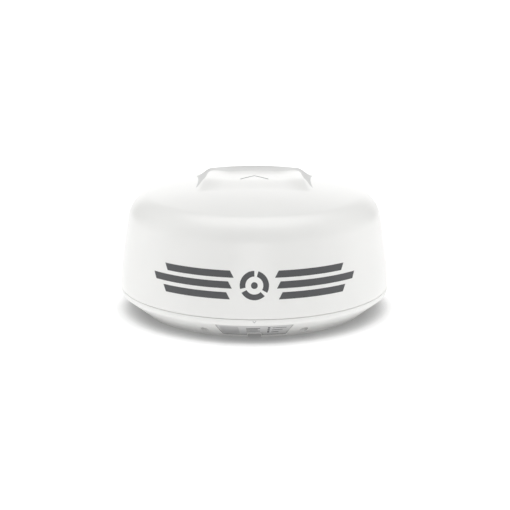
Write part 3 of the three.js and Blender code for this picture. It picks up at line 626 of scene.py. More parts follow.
def powder_coat(name):
    """Polyester powder coat on cast aluminium: white satin with fine orange peel, and outside,
    beyond 206 mm from the axis, painted shade in the screw pockets and the notch, grey where ambient
    occlusion finds them sheltered."""
    white = bpy.context.scene.radar_base.paint_colour
    material, tree, shader = new_finish(name, white, 0.38, ior=1.5)
    unshaded_coat = drift(tree, shader, 30, (scaled(white, 0.98), scaled(white, 1.02)), (0.34, 0.44))
    # Painted shade: where ambient occlusion finds the coat sheltered, in the pockets and the notch, its
    # colour darkens towards #555554; the inside of the base, within 206 mm of the axis, is spared.
    recess_shade = add_node(tree, "ShaderNodeAmbientOcclusion", {"Distance": 12 * MM}, samples=8, only_local=True)
    unshaded_share = add_node(tree, "ShaderNodeMapRange", {
        "Value": recess_shade.outputs["AO"], "From Min": 0.45, "From Max": 0.92})
    coords = add_node(tree, "ShaderNodeTexCoord").outputs["Object"]
    flat = add_node(tree, "ShaderNodeVectorMath", {0: coords, 1: (1, 1, 0)}, operation="MULTIPLY")
    out = add_node(tree, "ShaderNodeVectorMath", {0: flat.outputs[0]}, operation="LENGTH").outputs["Value"]
    indoors = add_node(tree, "ShaderNodeMath", {0: out, 1: 206 * MM}, operation="LESS_THAN").outputs[0]
    unshaded_or_inside = add_node(tree, "ShaderNodeMath", {0: unshaded_share.outputs[0], 1: indoors}, operation="MAXIMUM")
    coat = add_node(tree, "ShaderNodeMix", {
        "Factor": unshaded_or_inside.outputs[0], 6: linear("#555554"), 7: unshaded_coat}, data_type="RGBA")
    tree.links.new(coat.outputs[2], shader.inputs["Base Color"])
    relief(tree, shader, [(2.4, 0.03), (0.9, 0.012)])
    return material


def fibreglass_board(name):
    """FR-4 circuit board: green solder mask over copper tracks, which show as lighter
    raised lines on a 4 mm layout, drawn wide enough to be seen."""
    material, tree, shader = new_finish(name, "#1d5a3c", 0.3, ior=1.55)
    coords = add_node(tree, "ShaderNodeTexCoord").outputs["Object"]
    tracks = add_node(tree, "ShaderNodeTexBrick", {
        "Vector": coords, "Color1": linear("#1a5437"), "Color2": linear("#1f6242"),
        "Mortar": linear("#2f8a5c"), "Scale": 1.0, "Mortar Size": 0.35 * MM,
        "Brick Width": 9 * MM, "Row Height": 4 * MM, "Bias": 0.0}, offset=0.37)
    tree.links.new(tracks.outputs["Color"], shader.inputs["Base Color"])
    raised = add_node(tree, "ShaderNodeBump", {"Height": tracks.outputs["Fac"], "Distance": 0.05 * MM})
    tree.links.new(raised.outputs[0], shader.inputs["Normal"])
    return material


def pad_ink(name):
    """Pad-printed ink: dark grey and matt, in an even film with a slight grain. On the crown's bow mark the
    same ink is painted shade that stands for a moulded V groove.
    """
    ink = bpy.context.scene.radar_marks.ink_colour
    material, tree, shader = new_finish(name, ink, 0.5, ior=1.5)
    drift(tree, shader, 8, (scaled(ink, 0.92), scaled(ink, 1.1)), (0.45, 0.56))
    relief(tree, shader, [(1.4, 0.006)])
    return material


ALL_ROUND = (1, 1, 1)
# Each plain finish: its colour, roughness, metallic value and IOR, the size of its patches in
# millimetres with their two colours, two roughnesses and stretch, and the feature size, height
# and stretch of its relief.
EVEN_FINISHES = {
    # EPDM rubber: near-black and dull, with the dusty grain of an extruded seal.
    "cellular_rubber": (
        "#242527", 0.8, 0, 1.52, 6, ("#1f2022", "#2c2d30"), (0.72, 0.88), ALL_ROUND, (0.8, 0.03), ALL_ROUND),
    # Stainless steel from the lathe: bright grey with fine cutting rings along its height.
    "turned_stainless": (
        "#c3c4c6", 0.26, 1, 0, 2.5, ("#b9babc", "#cbccce"), (0.2, 0.34), (1, 1, 4), (0.9, 0.008), (1, 1, 6)),
    # Bead-blasted aluminium: pale, matt grey metal with a fine even grain.
    "cast_aluminium": (
        "#c6c8ca", 0.42, 1, 0, 12, ("#bcbec0", "#cfd1d3"), (0.36, 0.5), ALL_ROUND, (1, 0.02), ALL_ROUND),
    # Rolled aluminium sheet: lengthwise rolling lines give it a soft streaky sheen.
    "rolled_aluminium": (
        "#c9cbcd", 0.34, 1, 0, 1.4, ("#c0c2c4", "#d2d4d6"), (0.28, 0.42), (0.03, 1, 1), (0.8, 0.01),
        (0.03, 1, 1)),
    # Black glass-filled nylon: satin black with a spark-eroded mould texture.
    "glass_filled_nylon": (
        "#1d1e20", 0.5, 0, 1.53, 9, ("#1a1b1d", "#242528"), (0.44, 0.58), ALL_ROUND, (0.7, 0.02), ALL_ROUND),
    # Printed polyester film: pale grey, matt, and flat but for a faint waviness.
    "label_film": (
        "#cfcfcf", 0.45, 0, 1.57, 15, ("#cccccc", "#d3d3d3"), (0.4, 0.5), ALL_ROUND, (9, 0.02), ALL_ROUND),
    # A grey panel printed on the film: a shade darker and just as matt.
    "etched_film": (
        "#bcbcbc", 0.48, 0, 1.57, 15, ("#b9b9b9", "#c0c0c0"), (0.44, 0.52), ALL_ROUND, (9, 0.02), ALL_ROUND),
    # White acetal: waxy off-white with a soft gloss.
    "turned_acetal": (
        "#e4e1d8", 0.36, 0, 1.48, 10, ("#e0ddd3", "#e8e5dd"), (0.3, 0.42), ALL_ROUND,
        (0.9, 0.008), ALL_ROUND),
    # Copper-jacketed semi-rigid coaxial lead: warm metal, slightly dulled in patches.
    "drawn_copper": (
        "#c98b60", 0.3, 1, 0, 7, ("#b87750", "#d49b70"), (0.24, 0.42), ALL_ROUND, (0.8, 0.01), ALL_ROUND),
    # Nickel plate on a sintered magnet: bright, warm grey, with a slightly pebbled surface.
    "nickel_plate": (
        "#b9b4aa", 0.22, 1, 0, 1.5, ("#aca79d", "#c3beb4"), (0.18, 0.3), ALL_ROUND, (0.6, 0.01), ALL_ROUND),
    # Immersion tin on copper pads: pale, silky metal with uneven brightness.
    "solder_tin": (
        "#cfcdc4", 0.32, 1, 0, 5, ("#c2bfb5", "#dad8d0"), (0.26, 0.42), ALL_ROUND, (0.7, 0.006), ALL_ROUND),
}
SPECIAL_FINISHES = {
    maker.__name__: maker for maker in (moulded_asa, textured_asa, powder_coat, fibreglass_board, pad_ink)}


def finish(name):
    """The finish of a name, made once."""
    if name in bpy.data.materials:
        return bpy.data.materials[name]
    if name in SPECIAL_FINISHES:
        return SPECIAL_FINISHES[name](name)
    colour, roughness, metallic, ior, patch, tones, levels, stretch, grain, lines = EVEN_FINISHES[name]
    material, tree, shader = new_finish(name, colour, roughness, metallic, ior)
    drift(tree, shader, patch, tones, levels, stretch)
    relief(tree, shader, [grain], lines)
    return material


# ---------- shape of the dome ----------
def fade(t):
    t = min(1, max(0, t))
    return t * t * (3 - 2 * t)


def shoulder():
    """Radius and height of the shoulder arc's centre, and the angle where it meets the crown."""
    curve = SIDE_CURVE_HEIGHT / math.sin(SIDE_TAPER)
    radius = CAD_HIGH.x / MM - curve * (1 - math.cos(SIDE_TAPER)) - SHOULDER_RADIUS * math.cos(SIDE_TAPER)
    height = SEAM_Z + SIDE_CURVE_HEIGHT - SHOULDER_RADIUS * math.sin(SIDE_TAPER)
    middle = CROWN_TOP_Z - CROWN_RADIUS
    reach = CROWN_RADIUS - SHOULDER_RADIUS
    along = -radius * math.sin(SIDE_TAPER) + (height - middle) * math.cos(SIDE_TAPER)
    rest = radius ** 2 + (height - middle) ** 2 - reach ** 2
    step = -along + math.sqrt(along ** 2 - rest)
    radius -= step * math.sin(SIDE_TAPER)
    height += step * math.cos(SIDE_TAPER)
    return radius, height, math.atan2(height - middle, radius)


SHOULDER_R, SHOULDER_Z, SHOULDER_END = shoulder()


def dome_height(x, y):
    out = math.hypot(x, y)
    if out > SHOULDER_R + SHOULDER_RADIUS * math.cos(SHOULDER_END):
        return SHOULDER_Z + math.sqrt(SHOULDER_RADIUS ** 2 - (out - SHOULDER_R) ** 2)
    return CROWN_TOP_Z - CROWN_RADIUS + math.sqrt(CROWN_RADIUS ** 2 - out ** 2)


def side_radius(z):
    """Radius of the dome's side at a height below the shoulder's end."""
    curve = SIDE_CURVE_HEIGHT / math.sin(SIDE_TAPER)
    if z < SEAM_Z + SIDE_CURVE_HEIGHT:
        return CAD_HIGH.x / MM - curve + math.sqrt(curve ** 2 - (z - SEAM_Z) ** 2)
    start = SHOULDER_Z + SHOULDER_RADIUS * math.sin(SIDE_TAPER)
    if z < start:
        edge = CAD_HIGH.x / MM - curve * (1 - math.cos(SIDE_TAPER))
        return edge - (z - SEAM_Z - SIDE_CURVE_HEIGHT) * math.tan(SIDE_TAPER)
    return SHOULDER_R + math.sqrt(SHOULDER_RADIUS ** 2 - (z - SHOULDER_Z) ** 2)


def pad_height(x, y):
    """Height of the raised pad above the crown: side slopes, a dished middle that opens aft, and
    a cove that turns up into the lip at the bow end."""
    pad = bpy.context.scene.radar_cover
    across = abs(x)
    inner = 98 - 13 * fade((y - PAD_AFT_Y) / 150)
    outer = 108 + 6 * fade((y - 50) / 90)
    rise = fade((outer - across) / (outer - inner)) * (1 - fade((y - PAD_LIP_Y) / (PAD_BOW_Y - PAD_LIP_Y)))
    if rise == 0:
        return 0
    lip = CAD_HIGH.z / MM - x ** 2 / (2 * LIP_CROSS_RADIUS) - dome_height(x, PAD_LIP_Y)
    start = fade((y - PAD_AFT_Y) / 75)
    turn_up = min(1, max(0, (y - PAD_LIP_Y) / (pad.lip_cove / MM) + 1))
    cove = 0.75 * turn_up ** 2 + 0.25 * (1 - math.sqrt(1 - turn_up ** 2))
    middle = (pad.pad_crest - pad.pad_dish * fade((inner - across) / 45)) / MM * start
    return (middle + (lip - middle) * cove) * rise


def dome_side(u, z, offset):
    """A point of the side, u millimetres round from aft at the printed band's height."""
    x, y = from_aft(side_radius(z) + offset, math.degrees(u / side_radius(107)))
    return x, y, z


def dome_top(x, y, offset):
    return x, y, dome_height(x, y) + pad_height(x, y) + offset


def base_wall(u, z, offset):
    """A point of the base's sloping wall, u millimetres round from aft, offset square to it."""
    slope = (CAD_HIGH.x / MM - 1.5 - FOOT_RADIUS) / (SKIRT_Z - 4)
    x, y = from_aft(FOOT_RADIUS + (z - 2) * slope + 0.62 * offset, math.degrees(u / 228))
    return x, y, z - 0.78 * offset


def arc(radius, height, size, start, end, steps):
    """Profile points of an arc about (radius, height)."""
    angles = [start + (end - start) * i / steps for i in range(steps + 1)]
    return [(radius + size * math.cos(a), height + size * math.sin(a)) for a in angles]


def dome_line(inset, side_steps, shoulder_steps, stop_radius):
    """The cover's line from the rim up to a radius on the crown, moved in by inset."""
    curve = SIDE_CURVE_HEIGHT / math.sin(SIDE_TAPER)
    line = arc(CAD_HIGH.x / MM - curve, SEAM_Z, curve - inset, 0, SIDE_TAPER, side_steps)[1:]
    line += arc(SHOULDER_R, SHOULDER_Z, SHOULDER_RADIUS - inset, SIDE_TAPER, SHOULDER_END, shoulder_steps)
    middle = CROWN_TOP_Z - CROWN_RADIUS
    if stop_radius:
        line = [p for p in line if p[0] > stop_radius + 1]
        return line + [(stop_radius, dome_height(stop_radius, 0))]
    line += arc(0, middle, CROWN_RADIUS - inset, SHOULDER_END, math.pi / 2, 30)[1:-1]
    return line + [(0, CROWN_TOP_Z - inset)]


def crown_cap(segments):
    """The crown as one fine surface that carries the raised pad, with rows set close at the lip."""
    edge = [Vector(p) for p in round_outline(CAP_RADIUS, count=segments)]
    rows = []
    y = -CAP_RADIUS
    while y < CAP_RADIUS:
        rows.append(y)
        y += 1.0 if PAD_LIP_Y - 24 < y < PAD_LIP_Y + 3 else 2.6
    points = list(edge)
    for y in rows:
        for column in range(-90, 91):
            x = column * 2.4
            if math.hypot(x, y) < CAP_RADIUS - 2.5:
                points.append(Vector((x, y)))
    loop = [(i, (i + 1) % segments) for i in range(segments)]
    slopes = [[Vector((x * side, y)) for x, y in slope_outline()] for side in (-1, 1)]
    for slope in slopes:
        start = len(points)
        points += slope
        loop += [(start + i, start + (i + 1) % len(slope)) for i in range(len(slope))]
    flat, _, triangles, *_ = delaunay_2d_cdt(points, loop, [], 1, 1e-5)
    textured = []
    for triangle in triangles:
        middle = sum((flat[i] for i in triangle), Vector((0, 0))) / 3
        textured.append(within(Vector((abs(middle.x), middle.y)), slopes[1]))
    return [dome_top(p.x, p.y, 0) for p in flat], triangles, textured


def slope_outline():
    """Outline of one half of the textured band: from the middle of the lip out to the side, aft
    along the slope's foot to its tip, and back along the crest and the foot of the cove."""
    corners = [(0, 117.8), (85, 117.8), (113.4, 117.8), (112, 104), (109.8, 88), (107.6, 50), (107.5, 24),
               (108.4, 0), (110, -24), (100.7, 6), (94.8, 16), (91.7, 41), (90, 78), (86, 100), (80, 105),
               (0, 107)]
    line = []
    for i, corner in enumerate(corners):
        here, ahead = Vector(corner), Vector(corners[(i + 1) % len(corners)])
        steps = max(1, round((ahead - here).length / 3))
        line += [tuple(here.lerp(ahead, k / steps)) for k in range(steps)]
    return line


# ---------- operators ----------
class RADAR_OT_cover(bpy.types.Operator):
    """Make the moulded cover: a turned wall, the crown with its raised pad, and the screw bosses"""
    bl_idname = "radar_dome.make_cover"
    bl_label = "Make Cover"

    def execute(self, context):
        segments = context.scene.radar_cover.segments
        skin = finish("moulded_asa")
        outside = [(246.4, RIM_Z), (253.9, RIM_Z), (254.35, RIM_Z + 0.15), (254.5, RIM_Z + 0.6)]
        outside += [p for p in dome_line(0, 18, 30, CAP_RADIUS) if p[1] > RIM_Z + 1]
        inside = dome_line(COVER_WALL, 6, 12, 0)[::-1]
        inside += [(250.5, 50), (241, 50), (241, 43.9), (246.4, 43.9)]
        wall = new_object("radome_cover_finished", [(r, 0, z) for r, z in inside + outside])
        grow(wall, turning_tree(), segments=segments, material=skin)
        cap_points, cap_faces, textured = crown_cap(segments)
        cap = new_object("crown", cap_points, cap_faces)
        cap.data.materials.append(skin)
        cap.data.materials.append(finish("textured_asa"))
        cap.data.polygons.foreach_set("material_index", textured)
        cover = joined("radome_cover_finished", [wall, cap])
        tidied(cover, 50)
        bosses = []
        for angle in COVER_SCREW_ANGLES:
            x, y = from_aft(COVER_SCREW_RADIUS, angle)
            profile = eased([(3.2, 44.9), (8, 44.9), (8, COVER_BOSS_TOP), (0, COVER_BOSS_TOP),
                             (0, COVER_BOSS_TOP - 6), (3.2, COVER_BOSS_TOP - 6)], 0.8, 3, closed=False)
            bosses.append(turned("boss", profile, skin, 40, (x, y, 0)))
            rib = bent_box("rib", (-2, 2), (-250, -COVER_SCREW_RADIUS - 4), (47, COVER_BOSS_TOP - 4), skin)
            bosses.append(placed(rib, turn=Matrix.Rotation(math.radians(angle), 4, "Z")))
        cover = joined("radome_cover_finished", [cover] + bosses)
        show(cover, "cover", "radome_gelcoat", "radome_cover")
        return {"FINISHED"}


class RADAR_OT_marks(bpy.types.Operator):
    """Make the printed band, a split ring between plain bars, and the bow mark on the crown, a moulded V
    groove drawn as a dark ink V of painted shade
    """
    bl_idname = "radar_dome.make_marks"
    bl_label = "Make Printed Marks"

    def execute(self, context):
        marks = context.scene.radar_marks
        low, high, half = marks.low_edge / MM, marks.high_edge / MM, marks.half_length / MM
        stroke = marks.stroke / MM
        ink = finish("pad_ink")
        middle = (low + high) / 2
        outlines = [round_outline(6, (0, middle), 32)]
        for start in (-150, -30, 90):
            outlines.append(ring_part((0, middle), (high - low) / 2, stroke * 0.75, start, start + 104))
        for row in (-1, 0, 1):
            z, thick = middle + row * (high - low - stroke) / 2, stroke * 0.46
            for side in (-1, 1):
                start, end = (40 - 3 * row) * side, (half - 26 * abs(row)) * side
                slant = 7 * side
                outlines.append([(start, z - thick), (end, z - thick),
                                 (end + slant, z + thick), (start + slant, z + thick)])
        band = wrapped("aft_band", outlines, dome_side, -0.35, 0.12, ink, 3)
        show(band, "cover", "marking_ink")
        # Painted shade: the bow mark's moulded V groove is laid on as a dark ink V.
        chevron = [(0, 47.5), (27.8, 12.4), (25.2, 11.2), (0, 43.3), (-25.2, 11.2), (-27.8, 12.4)]
        mark = wrapped("bow_mark", [chevron], dome_top, -0.35, 0.12, ink, 3)
        show(mark, "cover", "marking_ink")
        return {"FINISHED"}


def ring_part(centre, radius, width, start, end):
    """Outline of part of a ring of the given outer radius and width, between two angles."""
    start, end = math.radians(start), math.radians(end)
    outer, inner = (arc(*centre, size, start, end, 24) for size in (radius, radius - width))
    return outer + inner[::-1]


class RADAR_OT_base(bpy.types.Operator):
    """Make the cast base with its pockets, notch and recess, and the label on its aft wall"""
    bl_idname = "radar_dome.make_base"
    bl_label = "Make Base"

    def execute(self, context):
        base = context.scene.radar_base
        paint = finish("powder_coat")
        outer = [(0, 0), (209, 0), (210.1, 0.25), (210.75, 0.9), (211, 2)]
        outer += [(211 + 42 * i / 9, 2 + 33 * i / 9) for i in range(1, 10)]
        outer += [(253.75, 36), (254.2, 37), (254.5, 39), (254.5, 44.5), (254.3, 44.9), (253.9, BASE_TOP_Z)]
        inner = [(250, BASE_TOP_Z), (250, 39), (238, 39), (238, 35), (245.5, 35), (227, 17), (210.5, 5),
                 (0, 5)]
        housing = turned("base_housing_finished", outer + inner, paint, base.segments)
        additions = []
        for angle in COVER_SCREW_ANGLES:
            x, y = from_aft(COVER_SCREW_RADIUS, angle)
            additions.append(rod("boss", 10.8, 3, BOSS_TOP_Z, paint, 0.6, offset=(x, y, 0)))
        half, top = base.notch_width / 2 / MM, base.notch_height / MM
        additions.append(notch_tool(half + 4, top + 4, -240, -119, 2))
        trimmed = joined("bosses", additions)
        envelope = turned("envelope", outer + [(0, BASE_TOP_Z)], paint, base.segments)
        trimmed = combined(trimmed, [placed(envelope, (0, 0, 0.001))], "INTERSECT")
        additions = [trimmed]
        additions += [rod("mount", 12, 3, 27, paint, 1, offset=(x, y, 0)) for x, y in MOUNTS]
        additions += [rod("post", 4, 3, 13.7, paint, 0.5, 24, offset=(x, y, 0)) for x, y in BOARD_POSTS]
        additions.append(bent_box("hump", (-64, 64), (-124, -56), (3, 40), paint, 3))
        combined(housing, additions, "UNION")
        cuts = [bent_box("recess", (-60, 60), (-120, -60), (-5, 36), paint, 2)]
        cuts.append(notch_tool(half, top, -262, -119))
        for angle in COVER_SCREW_ANGLES:
            x, y = from_aft(COVER_SCREW_RADIUS, angle)
            cuts.append(rod("pocket", 7.8, -5, POCKET_DEPTH, paint, 0.8, offset=(x, y, 0)))
            cuts.append(rod("hole", 3.3, POCKET_DEPTH - 2, 50, paint, 0.1, 32, offset=(x, y, 0)))
        cuts += [rod("insert_bore", 6.8, -5, 23, paint, 0.3, offset=(x, y, 0)) for x, y in MOUNTS]
        along_y = Matrix.Rotation(math.radians(-90), 4, "X")
        for x in SOCKETS.values():
            cuts.append(rod("socket_bore", 10, -65, -50, paint, 0.1, turn=along_y, offset=(x, 0, SOCKET_Z)))
        cuts.append(rod("vent_bore", 4.5, 30, 45, paint, 0.1, offset=(*VENT, 0)))
        cuts.append(wrapped("seat", [label_outline(0.8)], base_wall, -0.8, 1.6, paint, 4))
        combined(housing, cuts, "DIFFERENCE")
        show(housing, "base", "base_paint", "base_housing")
        self.make_label()
        return {"FINISHED"}

    def make_label(self):
        """The label film, with plain bars and blocks in place of any printing."""
        film = wrapped(
            "label_plate_finished", [label_outline(0)], base_wall, -0.7, -0.2, finish("label_film"), 3)
        show(film, "base", "label_film", "label_plate")
        blocks = [(-14, 10 - 4 * (i % 2), 24 - 4 * i, 25.6 - 4 * i) for i in range(3)]
        blocks += [(23, 27, 24 - 6 * i, 27.5 - 6 * i) for i in range(3)]
        blocks += [(31, end, 25 - 6 * i, 26.2 - 6 * i) for i, end in enumerate((55, 50, 44))]
        outlines = [eased(box_outline(*b), 0.6, 2) for b in blocks]
        print_marks = wrapped("label_print", outlines, base_wall, -0.4, -0.1, finish("pad_ink"), 3)
        show(print_marks, "base", "marking_ink")
        panel = eased(box_outline(-60, -27, 9.5, 28.5), 2, 3)
        shade = wrapped("label_panel", [panel], base_wall, -0.4, -0.12, finish("etched_film"), 3)
        show(shade, "base", "label_film")
        tick = [(-3.4, 42.6), (0, 38.6), (3.4, 42.6), (2.4, 43.2), (0, 40.4), (-2.4, 43.2)]
        mark = wrapped("seam_tick", [tick], skirt_wall, -0.3, 0.0, finish("etched_film"), 2)
        show(mark, "base", "label_film")


def skirt_wall(u, z, offset):
    x, y = from_aft(CAD_HIGH.x / MM + offset, math.degrees(u * MM / CAD_HIGH.x))
    return x, y, z


def label_outline(grown):
    """The label's outline, with its lower middle open for the cable notch."""
    low, high, half = 6.5 - grown, 31.5 + grown, 64.5 + grown
    step = 14.5 - grown
    foot = half * 0.93
    outline = [(-foot, low), (-step, low), (-step, 11.5), (step, 11.5), (step, low), (foot, low),
               (half, high), (-half, high)]
    return eased(outline, 2, 3)


def notch_tool(half, top, aft, bow, foot=-3):
    """A prism along Y with rounded upper corners."""
    outline = eased([(-half, foot), (half, foot), (half, top), (-half, top)], 3)
    tool = extruded("notch", outline, -bow, -aft, finish("powder_coat"))
    return placed(tool, turn=Matrix.Rotation(math.radians(90), 4, "X"))


class RADAR_OT_fittings(bpy.types.Operator):
    """Make the seal, the threaded inserts, the two sockets, the vent and the cover screws"""
    bl_idname = "radar_dome.make_fittings"
    bl_label = "Make Base Fittings"

    def execute(self, context):
        seal = [(241, 39.3), (246.4, 39.3), (246.4, 41), (245.9, 41.5), (246.4, 42), (246.2, 43.6),
                (244.6, 43.6), (243.7, 42.6), (242.8, 43.6), (241.2, 43.6), (241, 42), (241.5, 41.5),
                (241, 41)]
        show(turned("cover_gasket_finished", eased(seal, 0.25, 2), finish("cellular_rubber"), 192),
             "base", "seal_rubber", "cover_gasket")
        steel = finish("turned_stainless")
        threads = []
        for i in range(16):
            threads += [(3.4, 19 - 1.2 * i), (4.0, 18.4 - 1.2 * i)]
        sleeve = [(3.4, 22.5), (6.5, 22.5), (6.5, 0.4), (6.1, 0), (4.3, 0)] + threads[::-1]
        insert = turned("insert", sleeve, steel, 48)
        inserts = copies("mount_inserts", insert, [(x, y, 0) for x, y in MOUNTS], steel)
        show(inserts, "base", "stainless_steel", *[f"mount_insert_{i}" for i in range(1, 5)])
        nylon = finish("glass_filled_nylon")
        along_y = Matrix.Rotation(math.radians(-90), 4, "X")
        for name, x in SOCKETS.items():
            low = RECESS_BOW_Y - 0.3
            end, web = RECESS_BOW_Y + 14, RECESS_BOW_Y + 8
            body = [(8, low - 8), (10.6, low - 8), (10.6, low - 3.4), (13, low - 3), (13, low), (9.6, low),
                    (9.6, end), (0, end), (0, web), (8, web)]
            shell = turned("shell", eased(body, 0.5, 3, closed=False), nylon, 72, (x, 0, SOCKET_Z), along_y)
            pin = rod("pin", 0.8, -64, -51, finish("solder_tin"), 0.4, 16, turn=along_y)
            spots = [(x + 4.6 * math.cos(a), 0, SOCKET_Z + 4.6 * math.sin(a))
                     for a in (0.5, 2.07, 3.64, 5.21)]
            pins = copies("pins", pin, spots, finish("solder_tin"))
            show(joined(name + "_finished", [shell, pins]), "base", "black_plastic", name)
        vent = [(0, 32.7), (6.2, 32.7), (7, 33.4), (7, 35.7), (4.2, 35.7), (4.2, 42), (0, 42)]
        slits = [bent_box("slit", (-5 + i * 2.2, -4 + i * 2.2), (-4, 4), (30, 34), nylon) for i in range(5)]
        cap = turned("breather_vent_finished", eased(vent, 0.4, 3, closed=False), nylon, 64, (*VENT, 0))
        combined(cap, [placed(s, (*VENT, 0)) for s in slits], "DIFFERENCE")
        show(cap, "base", "black_plastic", "breather_vent")
        points = [(*from_aft(COVER_SCREW_RADIUS, a), POCKET_DEPTH - 0.3) for a in COVER_SCREW_ANGLES]
        cap_screws("cover_screws", (5.5, 5, 2.9, 40, True), points, 4, "base",
                   *[f"cover_screw_{i}" for i in range(1, 7)])
        return {"FINISHED"}


def cap_screws(name, shape, points, seed, body, *nodes):
    """Alike cap screws, each turned by chance, in place of the frame's own."""
    steel = finish("turned_stainless")
    screws = copies(name, cap_screw(*shape), points, steel, random_turn=6.28, seed=seed)
    show(screws, body, "stainless_steel", *nodes)


def cap_screw(head, height, shank, long, head_down):
    """A socket cap screw whose head's bearing face lies at height 0, its shank pointing up when
    head_down is true and down when it isn't."""
    steel = finish("turned_stainless")
    profile = [(0, -height), (head - 0.5, -height), (head, -height + 0.6), (head, 0), (shank, 0)]
    pitch = 1.0
    turns = int((long - 6) / pitch)
    for i in range(turns):
        profile += [(shank, 4 + i * pitch), (shank - 0.35, 4.5 + i * pitch)]
    profile += [(shank * 0.7, long), (0, long)]
    screw = turned("screw", profile, steel, 36)
    recess = extruded("socket", round_outline(head * 0.52, count=6), -height - 1, -height * 0.45, steel)
    combined(screw, [recess], "DIFFERENCE")
    return screw if head_down else placed(screw, turn=Matrix.Rotation(math.pi, 4, "X"))


class RADAR_OT_pedestal(bpy.types.Operator):
    """Make the pedestal, its bearings, screws and rotary joint, and the spindle"""
    bl_idname = "radar_dome.make_pedestal"
    bl_label = "Make Pedestal"

    def execute(self, context):
        metal, steel = finish("cast_aluminium"), finish("turned_stainless")
        body = [(18.2, 5.3), (48, 5.3), (48, 10.3), (28.5, 10.3), (25.2, 12), (24, 16.3), (23, 68),
                (18.2, 68), (18.2, 57.7), (14.5, 57.7), (14.5, 30.3), (18.2, 30.3)]
        pedestal = turned("pedestal_finished", eased(body, 0.8, 3), metal, 96)
        screw_spots = [from_aft(40, a) for a in (45, 135, 225, 315)]
        cuts = [bent_box("slot", (-60, -10), (-3.5, 3.5), (0, 13.5), metal)]
        cuts += [rod("hole", 2.4, 0, 20, metal, 0.1, 24, offset=(x, y, 0)) for x, y in screw_spots]
        combined(pedestal, cuts, "DIFFERENCE")
        show(pedestal, "base", "cast_aluminium", "pedestal")
        for name, low in (("lower_bearing", 20.3), ("upper_bearing", 58.0)):
            top = low + 9.7
            race = [(12.2, low), (18, low), (18, top), (16.4, top), (16.2, top - 0.5), (14, top - 0.5),
                    (13.8, top), (12.2, top)]
            show(turned(name + "_finished", eased(race, 0.3, 2), steel, 72), "base", "stainless_steel", name)
        stator = joined("rotary_joint_stator_finished", [
            rod("flange", 17.5, 5.5, 12, metal), rod("stem", 3, 11, 40, metal, 0.4, 32)])
        show(stator, "base", "cast_aluminium", "rotary_joint_stator")
        points = [(x, y, 10.6) for x, y in screw_spots]
        cap_screws("pedestal_screws", (3.6, 4, 2, 5, False), points, 2, "base",
                   *[f"pedestal_screw_{i}" for i in range(1, 5)])
        shaft = [(8, 17), (12, 17), (12, 69.5), (28, 69.5), (28, 74), (12, 74), (12, 90), (8, 90)]
        spindle = turned("spindle_finished", eased(shaft, 0.5, 3), steel, 96)
        show(spindle, "antenna", "stainless_steel", "spindle")
        show(ring("rotary_joint_rotor_finished", 7.6, 3.5, 22, 60, metal, 0.4, 48),
             "antenna", "cast_aluminium", "rotary_joint_rotor")
        return {"FINISHED"}


